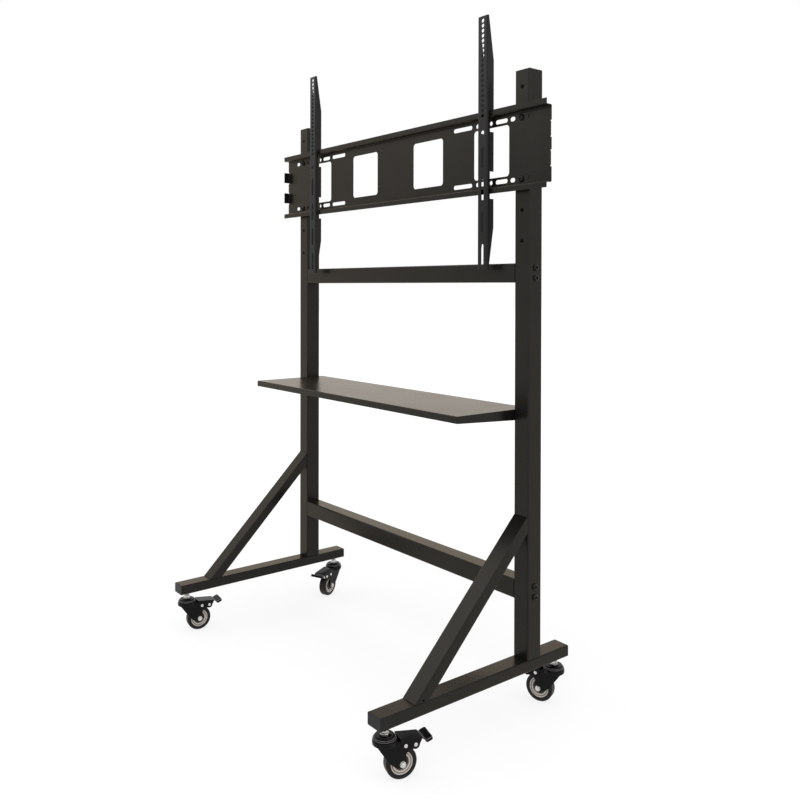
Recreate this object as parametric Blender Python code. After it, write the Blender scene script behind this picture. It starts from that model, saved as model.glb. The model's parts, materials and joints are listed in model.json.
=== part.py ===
"""Mobile floor stand for a large flat screen.

Two square tube posts stand on two foot rails, stiffened by 45 degree braces and two
bolted crossbeams. A sheet shelf hangs between the posts, a folded wall plate is bolted
to the upper part of the posts, and two channel arms hook over its lips. The rails roll
on four braked swivel casters with threaded stems.

Units are metres, +Z up, -Y is the front where the screen hangs. The origin lies on the
floor, midway between the posts and midway along the foot rails.
"""

import math

import bmesh
import bpy
from mathutils import Matrix, Vector

# Seating gap between touching pieces, and the free gap round a bolt in its hole
SEAT = 0.0003
BOLT_PLAY = 0.0005

# Posts
STAND_WIDTH = 1.100
POST_WIDTH = 0.050
POST_DEPTH = 0.050
POST_WALL = 0.002
POST_LENGTH = 1.5090
POST_CORNER = 0.004

# Foot rails, as wide as the posts
RAIL_HEIGHT = 0.030
RAIL_WALL = 0.002
RAIL_CORNER = 0.004
RAIL_FRONT_REACH = 0.470
RAIL_REAR_REACH = 0.108

# Plastic end caps of the posts and the rails
CAP_FLANGE = 0.0025
CAP_PLUG = 0.014
CAP_PLUG_WALL = 0.002

# Braces, as wide as the posts
BRACE_THICKNESS = 0.030
BRACE_WALL = 0.002
BRACE_FORWARD = 0.370
BRACE_RISE = 0.368

# Crossbeams between the posts
BEAM_HEIGHT = 0.050
BEAM_DEPTH = 0.050
BEAM_WALL = 0.002
BEAM_CORNER = 0.004
LOWER_BEAM_RISE = 0.147
UPPER_BEAM_RISE = 0.966

# Threaded plates welded inside the tube ends
END_PLATE = 0.004
FOOT_PLATE = 0.005
WELD_INSET = 0.001

# Shelf
SHELF_RISE = 0.637
SHELF_FRONT_REACH = 0.199
SHELF_REAR_REACH = 0.011
SHELF_SHEET = 0.002
SHELF_LIP = 0.018
SHELF_FLANGE = 0.028
SHELF_BEND = 0.002

# Row of threaded inserts down the front of each post
ROW_COUNT = 6
ROW_PITCH = 0.079
ROW_DROP = 0.044
PLATE_ROW_TOP = 1
PLATE_ROW_BOTTOM = 3
INSERT_RADIUS = 0.0070
INSERT_LENGTH = 0.014
SHELF_INSERT_RADIUS = 0.0060
SHELF_INSERT_LENGTH = 0.012

# Wall plate
PLATE_WIDTH = 1.250
PLATE_SHEET = 0.002
PLATE_FLAT = 0.188
PLATE_STEP = 0.018
PLATE_LIP = 0.016
PLATE_BEND = 0.0015
WINDOW_HEIGHT = 0.134
WINDOW_WIDTH = 0.133
WINDOW_CORNER = 0.010
WINDOW_CENTRES = (0.1545, 0.415)
SLOT_HEIGHT = 0.0115
SLOT_SPANS = ((0.266, 0.342), (0.356, 0.398), (0.409, 0.4205),
              (0.4315, 0.476), (0.485, 0.503), (0.547, 0.567))
LUG_HEIGHT = 0.036
LUG_SPREAD = 0.0365
LUG_RELIEF = 0.003

# Screen arms
ARM_WIDTH = 0.038
ARM_DEPTH = 0.023
ARM_SHEET = 0.002
ARM_LENGTH = 0.670
ARM_BEND = 0.0025
ARM_ABOVE_LIP = 0.250
ARM_REST_DEPTH = 0.0094
ARM_LEFT_X = -0.4195
ARM_RIGHT_X = 0.4115
ARM_TOP_TAPER = 0.118
ARM_BOTTOM_TAPER = 0.112
ARM_END_DEPTH = 0.0052
ARM_LIP_PLAY = 0.0013
HOOK_DROP = 0.009
UPPER_NOTCH = 0.057
LOWER_NOTCH = 0.072
LOWER_NOTCH_BELOW = 0.013
ARM_HOLE_COUNT = 20
ARM_HOLE_PITCH = 0.0132
ARM_HOLE_FIRST = 0.012
ARM_HOLE_RADIUS = 0.005
ARM_SINGLE_DROP = 0.308
ARM_SINGLE_RADIUS = 0.006
ARM_SLOT_COUNT = 4
ARM_SLOT_FIRST = 0.374
ARM_SLOT_PITCH = 0.0855
ARM_SLOT_LENGTH = 0.057
ARM_SLOT_RADIUS = 0.0045

# Button head bolts: large ones join the frame, small ones hold the shelf
BOLT_RADIUS = 0.005
HEAD_RADIUS = 0.00875
HEAD_HEIGHT = 0.0055
SHELF_BOLT_RADIUS = 0.004
SHELF_HEAD_RADIUS = 0.007
SHELF_HEAD_HEIGHT = 0.0044
BEAM_BOLT_SPREAD = 0.027
FOOT_BOLT_SPREAD = 0.024
SHELF_BOLT_SPREAD = 0.024
SHELF_BOLT_DROP = 0.014
BOLT_END = 0.003
BOLT_SINK = 0.0005
BUTTON_TOP = 0.60

# Casters
WHEEL_RADIUS = 0.0375
TYRE_WIDTH = 0.025
TYRE_SHOULDER = 0.005
CORE_RADIUS = 0.0270
CORE_RECESS_RADIUS = 0.0150
CORE_RECESS = 0.004
AXLE_RADIUS = 0.004
AXLE_PLAY = 0.0004
AXLE_HEAD_FLATS = 0.016
AXLE_HEAD = 0.0065
TRAIL = 0.0375
FORK_SIDE_PLAY = 0.0014
FORK_CHEEK = 0.0030
FORK_CROWN_RADIUS = 0.0285
FORK_CROWN_FOOT = 0.0850
FORK_CROWN_TOP = 0.0955
FORK_BOSS_RADIUS = 0.0105
CUP_RADIUS = 0.0270
CUP_TOP_RADIUS = 0.0150
CUP_HEIGHT = 0.0100
CUP_RIM = 0.0025
KING_RADIUS = 0.0060
COLLAR_FLATS = 0.017
COLLAR_HEIGHT = 0.0080
WASHER_RADIUS = 0.0105
WASHER_HEIGHT = 0.0016
STUD_RADIUS = 0.005
STUD_SHOWING = 0.0103
STUD_IN_RAIL = 0.020
STEM_NUT_FLATS = 0.017
STEM_NUT_HEIGHT = 0.008
STEM_INSET = 0.030
FORK_ARM_ALONG = 0.0540
PEDAL_SHEET = 0.0018
PEDAL_PLAY = 0.0006
PEDAL_PIN_ALONG = 0.0444
PEDAL_PIN_HEIGHT = 0.0784
SHOE_PIN_ALONG = 0.0687
SHOE_PIN_HEIGHT = 0.0772
SHOE_THICKNESS = 0.0050
SHOE_WIDTH = 0.0200
PEDAL_START = 0.0310
PEDAL_START_HEIGHT = 0.0950
PEDAL_STEP_ALONG = 0.0850
PEDAL_STEP_HEIGHT = 0.0890
PAD_START = 0.0920
PAD_START_HEIGHT = 0.0830
PAD_END = 0.1085
PAD_END_HEIGHT = 0.0890
PAD_WIDTH = 0.0470
PIN_RADIUS = 0.0025
PIN_HEAD_RADIUS = 0.0045
PIN_HEAD = 0.0015
KING_HEAD_RADIUS = 0.0095
KING_HEAD = 0.0050
COLLAR_TURN = 12.0
FORK_ROUND = 0.0030
CHEEK_REAR_INSET = 0.00285
CHEEK_FRONT_INSET = 0.00855
CHEEK_FRONT = [(-0.0030, 0.0640), (0.0080, 0.0440), (0.0210, 0.0320)]
CHEEK_REAR = [(0.0460, 0.0600), (0.0540, 0.0660)]
CORE_STEP = 0.0015
PEDAL_TAB_RADIUS = 0.0100
PAD_THICKNESS = 0.0040
SHOE_LENGTH = 0.0120
SHOE_LIFT = 0.0060
SWIVEL_FRONT_LEFT = 82.0
SWIVEL_FRONT_RIGHT = 73.0
SWIVEL_REAR_LEFT = -68.0
SWIVEL_REAR_RIGHT = 200.0

# Facets of round pieces, and the angle past which an edge stays sharp
SHARP_ANGLE = 32.0
BOLT_SIDES = 8
INSERT_BODY_SIDES = 6
ARM_HOLE_SIDES = 8
STEM_SIDES = 10
CROWN_SIDES = 12
WHEEL_SIDES = 18
PIN_SIDES = 6
PIN_HOLE_SIDES = 8

# Places that follow from the sizes above
RAIL_LENGTH = RAIL_FRONT_REACH + POST_DEPTH + RAIL_REAR_REACH
RAIL_FRONT_Y = -RAIL_LENGTH / 2
RAIL_REAR_Y = RAIL_LENGTH / 2
POST_FRONT_Y = RAIL_FRONT_Y + RAIL_FRONT_REACH
POST_REAR_Y = POST_FRONT_Y + POST_DEPTH
POST_MIDDLE_Y = POST_FRONT_Y + POST_DEPTH / 2
POST_OUTER_X = STAND_WIDTH / 2
POST_INNER_X = POST_OUTER_X - POST_WIDTH
POST_X = POST_OUTER_X - POST_WIDTH / 2
CUP_FOOT_Z = FORK_CROWN_TOP + SEAT
CUP_TOP_Z = CUP_FOOT_Z + CUP_HEIGHT
COLLAR_FOOT_Z = CUP_TOP_Z + SEAT
COLLAR_TOP_Z = COLLAR_FOOT_Z + WASHER_HEIGHT + COLLAR_HEIGHT
RAIL_BOTTOM_Z = COLLAR_TOP_Z + STUD_SHOWING
RAIL_TOP_Z = RAIL_BOTTOM_Z + RAIL_HEIGHT
POST_FOOT_Z = RAIL_TOP_Z + SEAT
POST_TOP_Z = POST_FOOT_Z + POST_LENGTH
POST_CAPPED_Z = POST_TOP_Z + SEAT + CAP_FLANGE
ROW_Z = [POST_CAPPED_Z - ROW_DROP - index * ROW_PITCH for index in range(ROW_COUNT)]
PLATE_BOLT_Z = (ROW_Z[PLATE_ROW_TOP], ROW_Z[PLATE_ROW_BOTTOM])
PLATE_MIDDLE_Z = sum(PLATE_BOLT_Z) / 2
PLATE_BACK_Y = POST_FRONT_Y - SEAT
PLATE_FACE_Y = PLATE_BACK_Y - PLATE_SHEET
LIP_FACE_Y = PLATE_FACE_Y - PLATE_STEP
LIP_BACK_Y = LIP_FACE_Y + PLATE_SHEET
LIP_TOP_Z = PLATE_MIDDLE_Z + PLATE_FLAT / 2 + PLATE_LIP
LIP_BOTTOM_Z = PLATE_MIDDLE_Z - PLATE_FLAT / 2 - PLATE_LIP
ARM_TOP_Z = LIP_TOP_Z + ARM_ABOVE_LIP
ARM_BOTTOM_Z = ARM_TOP_Z - ARM_LENGTH
NOTCH_Y = LIP_FACE_Y - ARM_LIP_PLAY
ARM_FACE_Y = NOTCH_Y - ARM_REST_DEPTH
ARM_BACK_Y = ARM_FACE_Y + ARM_DEPTH
FORK_INNER = TYRE_WIDTH / 2 + FORK_SIDE_PLAY
FORK_OUTER = FORK_INNER + FORK_CHEEK
PEDAL_INNER = FORK_OUTER + PEDAL_PLAY
PEDAL_OUTER = PEDAL_INNER + PEDAL_SHEET
BOLT_HOLE = BOLT_RADIUS + BOLT_PLAY
FRONT_CASTER_Y = RAIL_FRONT_Y + STEM_INSET
REAR_CASTER_Y = RAIL_REAR_Y - STEM_INSET
CASTERS = {
    "front_left": (-POST_X, FRONT_CASTER_Y, SWIVEL_FRONT_LEFT),
    "front_right": (POST_X, FRONT_CASTER_Y, SWIVEL_FRONT_RIGHT),
    "rear_left": (-POST_X, REAR_CASTER_Y, SWIVEL_REAR_LEFT),
    "rear_right": (POST_X, REAR_CASTER_Y, SWIVEL_REAR_RIGHT),
}
UPPER_BEAM_Z = RAIL_TOP_Z + UPPER_BEAM_RISE + BEAM_HEIGHT / 2
LOWER_BEAM_Z = RAIL_TOP_Z + LOWER_BEAM_RISE + BEAM_HEIGHT / 2
BEAM_BOLT_Z = [middle + sign * BEAM_BOLT_SPREAD / 2
               for middle in (UPPER_BEAM_Z, LOWER_BEAM_Z) for sign in (1, -1)]
BEAM_BOLT_NAMES = [(beam, row) for beam in ("upper", "lower") for row in ("top", "bottom")]
BRACE_SLOPE = math.hypot(BRACE_FORWARD, BRACE_RISE)
BRACE_BOLT_Z = RAIL_TOP_Z + BRACE_RISE - BRACE_THICKNESS * BRACE_SLOPE / BRACE_FORWARD / 2
BRACE_BOLT_Y = POST_FRONT_Y - BRACE_FORWARD + BRACE_THICKNESS * BRACE_SLOPE / BRACE_RISE / 2
FOOT_BOLT_Y = [POST_MIDDLE_Y - FOOT_BOLT_SPREAD / 2, POST_MIDDLE_Y + FOOT_BOLT_SPREAD / 2]
SHELF_TOP_Z = RAIL_TOP_Z + SHELF_RISE
SHELF_BOLT_Z = SHELF_TOP_Z - SHELF_BOLT_DROP
SHELF_BOLT_Y = [POST_MIDDLE_Y - SHELF_BOLT_SPREAD / 2, POST_MIDDLE_Y + SHELF_BOLT_SPREAD / 2]
SHELF_INNER_X = POST_INNER_X - SEAT - SHELF_SHEET


def clear_scene():
    for item in list(bpy.data.objects):
        bpy.data.objects.remove(item, do_unlink=True)


def make_material(name, colour, roughness, metallic=0.0):
    material = bpy.data.materials.new(name)
    material.use_nodes = True
    shader = material.node_tree.nodes["Principled BSDF"]
    shader.inputs["Base Color"].default_value = (*colour, 1.0)
    shader.inputs["Roughness"].default_value = roughness
    shader.inputs["Metallic"].default_value = metallic
    material.diffuse_color = (*colour, 1.0)
    return material


def place(axis, first, second, along):
    """Put a flat point (first, second) at a distance along one of the three axes."""
    if axis == "X":
        return Vector((along, first, second))
    if axis == "Y":
        return Vector((first, along, second))
    return Vector((first, second, along))


def arc(centre, radius, start, end, steps):
    """Points of an arc, angles in degrees, both ends included."""
    x, y = centre
    angles = [math.radians(start + (end - start) * index / steps) for index in range(steps + 1)]
    return [(x + radius * math.cos(angle), y + radius * math.sin(angle)) for angle in angles]


def circle(radius, sides, centre=(0.0, 0.0), turn=0.0):
    return arc(centre, radius, turn, turn + 360.0, sides)[:-1]


def rounded_box(width, height, corner, centre=(0.0, 0.0), steps=2):
    """Outline of a rectangle with round corners, counter-clockwise."""
    a, b = width / 2 - corner, height / 2 - corner
    corners = ((a, b), (-a, b), (-a, -b), (a, -b))
    points = []
    for quarter, (along, across) in enumerate(corners):
        middle = (centre[0] + along, centre[1] + across)
        points += arc(middle, corner, 90 * quarter, 90 * quarter + 90, steps)
    return points


def slot(length, height, centre, steps=3):
    """Slot outline with round ends, its length along the first axis."""
    radius, half = height / 2, (length - height) / 2
    if half < radius * 0.05:
        return circle(radius, 2 * steps + 2, centre)
    return (arc((centre[0] + half, centre[1]), radius, -90, 90, steps)
            + arc((centre[0] - half, centre[1]), radius, 90, 270, steps))


def skin(bm, rings, closed=False):
    """Join rings of equal length into one solid: capped at both ends, or closed on itself."""
    loops = [[bm.verts.new(point) for point in ring] for ring in rings]
    pairs = list(zip(loops, loops[1:]))
    if closed:
        pairs.append((loops[-1], loops[0]))
    count = len(loops[0])
    for low, high in pairs:
        for i in range(count):
            j = (i + 1) % count
            bm.faces.new((low[i], low[j], high[j], high[i]))
    if not closed:
        bm.faces.new(loops[0])
        bm.faces.new(loops[-1])


def add_prism(bm, outline, axis, start, end):
    skin(bm, [[place(axis, a, b, along) for a, b in outline] for along in (start, end)])


def add_tube(bm, outer, inner, axis, start, end):
    """Straight open tube between two places on an axis."""
    steps = ((outer, start), (outer, end), (inner, end), (inner, start))
    skin(bm, [[place(axis, a, b, along) for a, b in line] for line, along in steps], closed=True)


def add_turned(bm, profile, sides, matrix, closed=False, turn=0.0):
    """Turn a profile of (radius, height) points about the Z axis that matrix places."""
    rings = []
    for radius, height in profile:
        rings.append([matrix @ Vector((a, b, height)) for a, b in circle(radius, sides, turn=turn)])
    skin(bm, rings, closed)


def finish_mesh(bm, name):
    bmesh.ops.recalc_face_normals(bm, faces=bm.faces)
    mesh = bpy.data.meshes.new(name)
    bm.to_mesh(mesh)
    bm.free()
    mesh.shade_smooth()
    mesh.set_sharp_from_angle(angle=math.radians(SHARP_ANGLE))
    return mesh


def add_object(name, bm, material, parent=None):
    mesh = finish_mesh(bm, name)
    mesh.materials.append(material)
    item = bpy.data.objects.new(name, mesh)
    bpy.context.scene.collection.objects.link(item)
    item.parent = parent
    return item


def combine(item, tool_bm, label, operation):
    """Cut or join another solid, which stays in the scene as a hidden wire object."""
    mesh = finish_mesh(tool_bm, item.name + "_" + label)
    tool = bpy.data.objects.new(mesh.name, mesh)
    bpy.context.scene.collection.objects.link(tool)
    tool.parent = item.parent
    tool.hide_render = True
    tool.display_type = "WIRE"
    modifier = item.modifiers.new(label, "BOOLEAN")
    modifier.operation = operation
    modifier.solver = "EXACT"
    modifier.object = tool


def aim(point, direction):
    """Matrix that puts a turned piece's axis along a direction, its zero height at a point."""
    turn = Vector((0.0, 0.0, 1.0)).rotation_difference(Vector(direction)).to_matrix().to_4x4()
    return Matrix.Translation(Vector(point)) @ turn


def add_bolt(bm, seat, direction, length, radius=BOLT_RADIUS, head_radius=HEAD_RADIUS, head=HEAD_HEIGHT):
    """Button head bolt: its head stands on the seat and its shank runs the other way."""
    profile = [(head_radius * BUTTON_TOP, head), (head_radius, 0.0), (radius, 0.0), (radius, -length)]
    add_turned(bm, profile, BOLT_SIDES, aim(seat, direction))


def bent_sheet(path, thickness, bend, steps=2):
    """Closed outline of a folded sheet, from the path of its middle line and its inner bend radius."""
    left, right = [], []
    middle = bend + thickness / 2
    for index, point in enumerate(path):
        here = Vector(point)
        before = (here - Vector(path[index - 1])).normalized() if index else None
        after = (Vector(path[index + 1]) - here).normalized() if index < len(path) - 1 else None
        if before is None or after is None:
            run = after or before
            side = Vector((-run.y, run.x)) * thickness / 2
            left.append(here + side)
            right.append(here - side)
            continue
        angle = math.atan2(before.x * after.y - before.y * after.x, before.dot(after))
        sign = math.copysign(1.0, angle)
        inward = Vector((-before.y, before.x)) * sign
        centre = here - before * middle * math.tan(abs(angle) / 2) + inward * middle
        for step in range(steps + 1):
            spoke = Matrix.Rotation(angle * step / steps, 2) @ -inward
            left.append(centre + spoke * (middle - sign * thickness / 2))
            right.append(centre + spoke * (middle + sign * thickness / 2))
    return [tuple(point) for point in left + right[::-1]]


def build_post(side, name, material):
    """Square tube with a welded foot plate, a row of threaded inserts and the shelf's inserts."""
    x = side * POST_X
    centre = (x, POST_MIDDLE_Y)
    outer = rounded_box(POST_WIDTH, POST_DEPTH, POST_CORNER, centre)
    walls = 2 * POST_WALL
    inner = rounded_box(POST_WIDTH - walls, POST_DEPTH - walls, POST_CORNER - POST_WALL, centre)
    bm = bmesh.new()
    add_tube(bm, outer, inner, "Z", POST_FOOT_Z, POST_TOP_Z)
    post = add_object(name, bm, material)
    welded, holes = bmesh.new(), bmesh.new()
    corner = POST_CORNER - POST_WALL / 2
    outline = rounded_box(POST_WIDTH - POST_WALL, POST_DEPTH - POST_WALL, corner, centre, steps=1)
    add_prism(welded, outline, "Z", POST_FOOT_Z + WELD_INSET, POST_FOOT_Z + WELD_INSET + FOOT_PLATE)
    for z in ROW_Z:
        body = circle(INSERT_RADIUS, INSERT_BODY_SIDES, (x, z))
        add_prism(welded, body, "Y", POST_FRONT_Y + POST_WALL / 2, POST_FRONT_Y + INSERT_LENGTH)
        bore = circle(BOLT_HOLE, BOLT_SIDES, (x, z))
        add_prism(holes, bore, "Y", POST_FRONT_Y - POST_WALL, POST_FRONT_Y + INSERT_LENGTH + POST_WALL)
    for y in SHELF_BOLT_Y:
        start = side * (POST_INNER_X + POST_WALL / 2)
        end = side * (POST_INNER_X + SHELF_INSERT_LENGTH)
        body = circle(SHELF_INSERT_RADIUS, INSERT_BODY_SIDES, (y, SHELF_BOLT_Z))
        add_prism(welded, body, "X", start, end)
        bore = circle(SHELF_BOLT_RADIUS + BOLT_PLAY, BOLT_SIDES, (y, SHELF_BOLT_Z))
        add_prism(holes, bore, "X", side * (POST_INNER_X - POST_WALL), end + side * POST_WALL)
    for z in BEAM_BOLT_Z:
        bore = circle(BOLT_HOLE, BOLT_SIDES, (POST_MIDDLE_Y, z))
        add_prism(holes, bore, "X", side * (POST_INNER_X - POST_WALL), side * (POST_OUTER_X + POST_WALL))
    bore = circle(BOLT_HOLE, BOLT_SIDES, (x, BRACE_BOLT_Z))
    add_prism(holes, bore, "Y", POST_FRONT_Y - POST_WALL, POST_REAR_Y + POST_WALL)
    for y in FOOT_BOLT_Y:
        bore = circle(BOLT_HOLE, BOLT_SIDES, (x, y))
        add_prism(holes, bore, "Z", POST_FOOT_Z - FOOT_PLATE, POST_FOOT_Z + 3 * FOOT_PLATE)
    combine(post, welded, "welded", "UNION")
    combine(post, holes, "holes", "DIFFERENCE")


def build_rail(side, name, material):
    """Flat foot rail with weld nuts for the casters, and the bolts that reach up into brace and post."""
    x = side * POST_X
    centre = (x, (RAIL_BOTTOM_Z + RAIL_TOP_Z) / 2)
    outer = rounded_box(POST_WIDTH, RAIL_HEIGHT, RAIL_CORNER, centre)
    walls = 2 * RAIL_WALL
    inner = rounded_box(POST_WIDTH - walls, RAIL_HEIGHT - walls, RAIL_CORNER - RAIL_WALL, centre)
    bm = bmesh.new()
    add_tube(bm, outer, inner, "Y", RAIL_FRONT_Y + CAP_FLANGE + SEAT, RAIL_REAR_Y - CAP_FLANGE - SEAT)
    rail = add_object(name, bm, material)
    joined, holes = bmesh.new(), bmesh.new()
    for y in (FRONT_CASTER_Y, REAR_CASTER_Y):
        nut_top = RAIL_BOTTOM_Z + RAIL_WALL + STEM_NUT_HEIGHT
        nut = circle(STEM_NUT_FLATS / math.sqrt(3), 6, (x, y))
        add_prism(joined, nut, "Z", RAIL_BOTTOM_Z + RAIL_WALL / 2, nut_top)
        bore = circle(STUD_RADIUS + BOLT_PLAY, BOLT_SIDES, (x, y))
        add_prism(holes, bore, "Z", RAIL_BOTTOM_Z - RAIL_WALL, nut_top + RAIL_WALL)
    for y, grip in [(BRACE_BOLT_Y, END_PLATE)] + [(y, FOOT_PLATE) for y in FOOT_BOLT_Y]:
        length = RAIL_HEIGHT + SEAT + WELD_INSET + grip + BOLT_END
        add_bolt(joined, (x, y, RAIL_BOTTOM_Z + BOLT_SINK), (0.0, 0.0, -1.0), length - BOLT_SINK,
                 head=HEAD_HEIGHT + BOLT_SINK)
    combine(rail, joined, "nuts_and_bolts", "UNION")
    combine(rail, holes, "holes", "DIFFERENCE")


def brace_slice(outline, side, face, offset):
    """Points of a tube section slid along the brace until they meet its foot or its head face."""
    run = Vector((0.0, BRACE_FORWARD, BRACE_RISE)).normalized()
    depth = Vector((0.0, run.z, -run.y))
    foot = Vector((side * POST_X, POST_FRONT_Y - BRACE_FORWARD, RAIL_TOP_Z))
    points = []
    for a, b in outline:
        start = foot + Vector((a, 0.0, 0.0)) + depth * (BRACE_THICKNESS / 2 + b)
        if face == "foot":
            points.append(start + run * ((RAIL_TOP_Z + offset - start.z) / run.z))
        else:
            points.append(start + run * ((POST_FRONT_Y - offset - start.y) / run.y))
    return points


def build_brace(side, name, material):
    """Sloping tube, cut to lie on the rail's top and against the post's front, with a plate in each end."""
    x = side * POST_X
    wall = 2 * BRACE_WALL
    outer = rounded_box(POST_WIDTH, BRACE_THICKNESS, RAIL_CORNER)
    inner = rounded_box(POST_WIDTH - wall, BRACE_THICKNESS - wall, RAIL_CORNER - BRACE_WALL)
    corner = RAIL_CORNER - BRACE_WALL / 2
    plate = rounded_box(POST_WIDTH - BRACE_WALL, BRACE_THICKNESS - BRACE_WALL, corner, steps=1)
    steps = ((outer, "foot"), (outer, "head"), (inner, "head"), (inner, "foot"))
    bm = bmesh.new()
    skin(bm, [brace_slice(line, side, face, SEAT) for line, face in steps], closed=True)
    brace = add_object(name, bm, material)
    welded, holes = bmesh.new(), bmesh.new()
    inset = SEAT + WELD_INSET
    for face in ("foot", "head"):
        skin(welded, [brace_slice(plate, side, face, offset) for offset in (inset, inset + END_PLATE)])
    bore = circle(BOLT_HOLE, BOLT_SIDES, (x, BRACE_BOLT_Y))
    add_prism(holes, bore, "Z", RAIL_TOP_Z, RAIL_TOP_Z + 2 * END_PLATE)
    bore = circle(BOLT_HOLE, BOLT_SIDES, (x, BRACE_BOLT_Z))
    add_prism(holes, bore, "Y", POST_FRONT_Y - 2 * END_PLATE, POST_FRONT_Y)
    combine(brace, welded, "end_plates", "UNION")
    combine(brace, holes, "holes", "DIFFERENCE")


def build_beam(middle_z, name, material):
    """Square crossbeam between the posts' inner faces, with a threaded plate welded into each end."""
    centre = (POST_MIDDLE_Y, middle_z)
    outer = rounded_box(BEAM_DEPTH, BEAM_HEIGHT, BEAM_CORNER, centre)
    walls = 2 * BEAM_WALL
    inner = rounded_box(BEAM_DEPTH - walls, BEAM_HEIGHT - walls, BEAM_CORNER - BEAM_WALL, centre)
    corner = BEAM_CORNER - BEAM_WALL / 2
    plate = rounded_box(BEAM_DEPTH - BEAM_WALL, BEAM_HEIGHT - BEAM_WALL, corner, centre, steps=1)
    end = POST_INNER_X - SEAT
    bm = bmesh.new()
    add_tube(bm, outer, inner, "X", -end, end)
    beam = add_object(name, bm, material)
    welded, holes = bmesh.new(), bmesh.new()
    for side in (-1, 1):
        start = end - WELD_INSET
        add_prism(welded, plate, "X", side * start, side * (start - END_PLATE))
        for up in (-1, 1):
            bore = circle(BOLT_HOLE, BOLT_SIDES, (POST_MIDDLE_Y, middle_z + up * BEAM_BOLT_SPREAD / 2))
            add_prism(holes, bore, "X", side * (end + END_PLATE), side * (end - 2 * END_PLATE))
    combine(beam, welded, "end_plates", "UNION")
    combine(beam, holes, "holes", "DIFFERENCE")


def add_cap(bm, width, height, wall, corner, axis, face, inward, centre):
    """Plastic end cap: a flange over the tube's end and a hollow plug inside it."""
    flange = rounded_box(width, height, corner, centre, steps=1)
    plug_width, plug_height = width - 2 * (wall + SEAT), height - 2 * (wall + SEAT)
    plug = rounded_box(plug_width, plug_height, corner - wall, centre, steps=1)
    thick = 2 * CAP_PLUG_WALL
    hollow = rounded_box(plug_width - thick, plug_height - thick, corner - wall, centre, steps=1)
    neck, end = face + inward * CAP_FLANGE, face + inward * (CAP_FLANGE + CAP_PLUG)
    steps = ((flange, face), (flange, neck), (plug, neck), (plug, end), (hollow, end), (hollow, neck))
    skin(bm, [[place(axis, a, b, along) for a, b in line] for line, along in steps])


def build_caps(material):
    for side, word in ((-1, "left"), (1, "right")):
        bm = bmesh.new()
        centre = (side * POST_X, POST_MIDDLE_Y)
        add_cap(bm, POST_WIDTH, POST_DEPTH, POST_WALL, POST_CORNER, "Z", POST_CAPPED_Z, -1, centre)
        add_object("post_cap_" + word, bm, material)
        centre = (side * POST_X, (RAIL_BOTTOM_Z + RAIL_TOP_Z) / 2)
        for end, face, inward in (("front", RAIL_FRONT_Y, 1), ("rear", RAIL_REAR_Y, -1)):
            bm = bmesh.new()
            add_cap(bm, POST_WIDTH, RAIL_HEIGHT, RAIL_WALL, RAIL_CORNER, "Y", face, inward, centre)
            add_object(f"rail_cap_{end}_{word}", bm, material)


def shelf_outline(inset):
    """Plan of the shelf, drawn in by a distance, with a point where each side meets the post's faces."""
    half = POST_INNER_X - SEAT - inset
    front, rear = POST_FRONT_Y - SHELF_FRONT_REACH + inset, POST_REAR_Y + SHELF_REAR_REACH - inset
    corner = max(SHELF_BEND - inset, SHELF_BEND / 4)
    right = [(half, POST_FRONT_Y), (half, POST_REAR_Y)]
    left = [(-half, POST_REAR_Y), (-half, POST_FRONT_Y)]
    return (arc((half - corner, front + corner), corner, -90, 0, 1) + right
            + arc((half - corner, rear - corner), corner, 0, 90, 1)
            + arc((-half + corner, rear - corner), corner, 90, 180, 1) + left
            + arc((-half + corner, front + corner), corner, 180, 270, 1))


def shelf_edge(y):
    """Height of the folded-down edge: shallow in front, deep where it is bolted to the posts."""
    front, rear = POST_FRONT_Y - SHELF_FRONT_REACH, POST_REAR_Y + SHELF_REAR_REACH
    rise = min(1.0, (y - front) / (POST_FRONT_Y - front), (rear - y) / (rear - POST_REAR_Y))
    return SHELF_TOP_Z - SHELF_LIP - (SHELF_FLANGE - SHELF_LIP) * max(rise, 0.0)


def build_shelf(material):
    """Folded sheet tray, open below, with the bolts that hang it between the posts by its side flanges."""
    half_bend = SHELF_BEND * (1 - math.sqrt(0.5))
    outer, inner = shelf_outline(0.0), shelf_outline(SHELF_SHEET)
    rings = [[Vector((x, y, SHELF_TOP_Z)) for x, y in shelf_outline(SHELF_BEND)],
             [Vector((x, y, SHELF_TOP_Z - half_bend)) for x, y in shelf_outline(half_bend)],
             [Vector((x, y, SHELF_TOP_Z - SHELF_BEND)) for x, y in outer],
             [Vector((x, y, shelf_edge(y))) for x, y in outer],
             [Vector((x, y, shelf_edge(y))) for x, y in inner],
             [Vector((x, y, SHELF_TOP_Z - SHELF_SHEET)) for x, y in inner]]
    bm = bmesh.new()
    skin(bm, rings)
    shelf = add_object("shelf", bm, material)
    bolts = bmesh.new()
    for side in (-1, 1):
        for y in SHELF_BOLT_Y:
            seat = (side * (SHELF_INNER_X + BOLT_SINK), y, SHELF_BOLT_Z)
            length = SHELF_SHEET + SEAT + SHELF_INSERT_LENGTH - BOLT_SINK
            add_bolt(bolts, seat, (-side, 0.0, 0.0), length, SHELF_BOLT_RADIUS, SHELF_HEAD_RADIUS,
                     SHELF_HEAD_HEIGHT + BOLT_SINK)
    combine(shelf, bolts, "bolts", "UNION")


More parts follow.
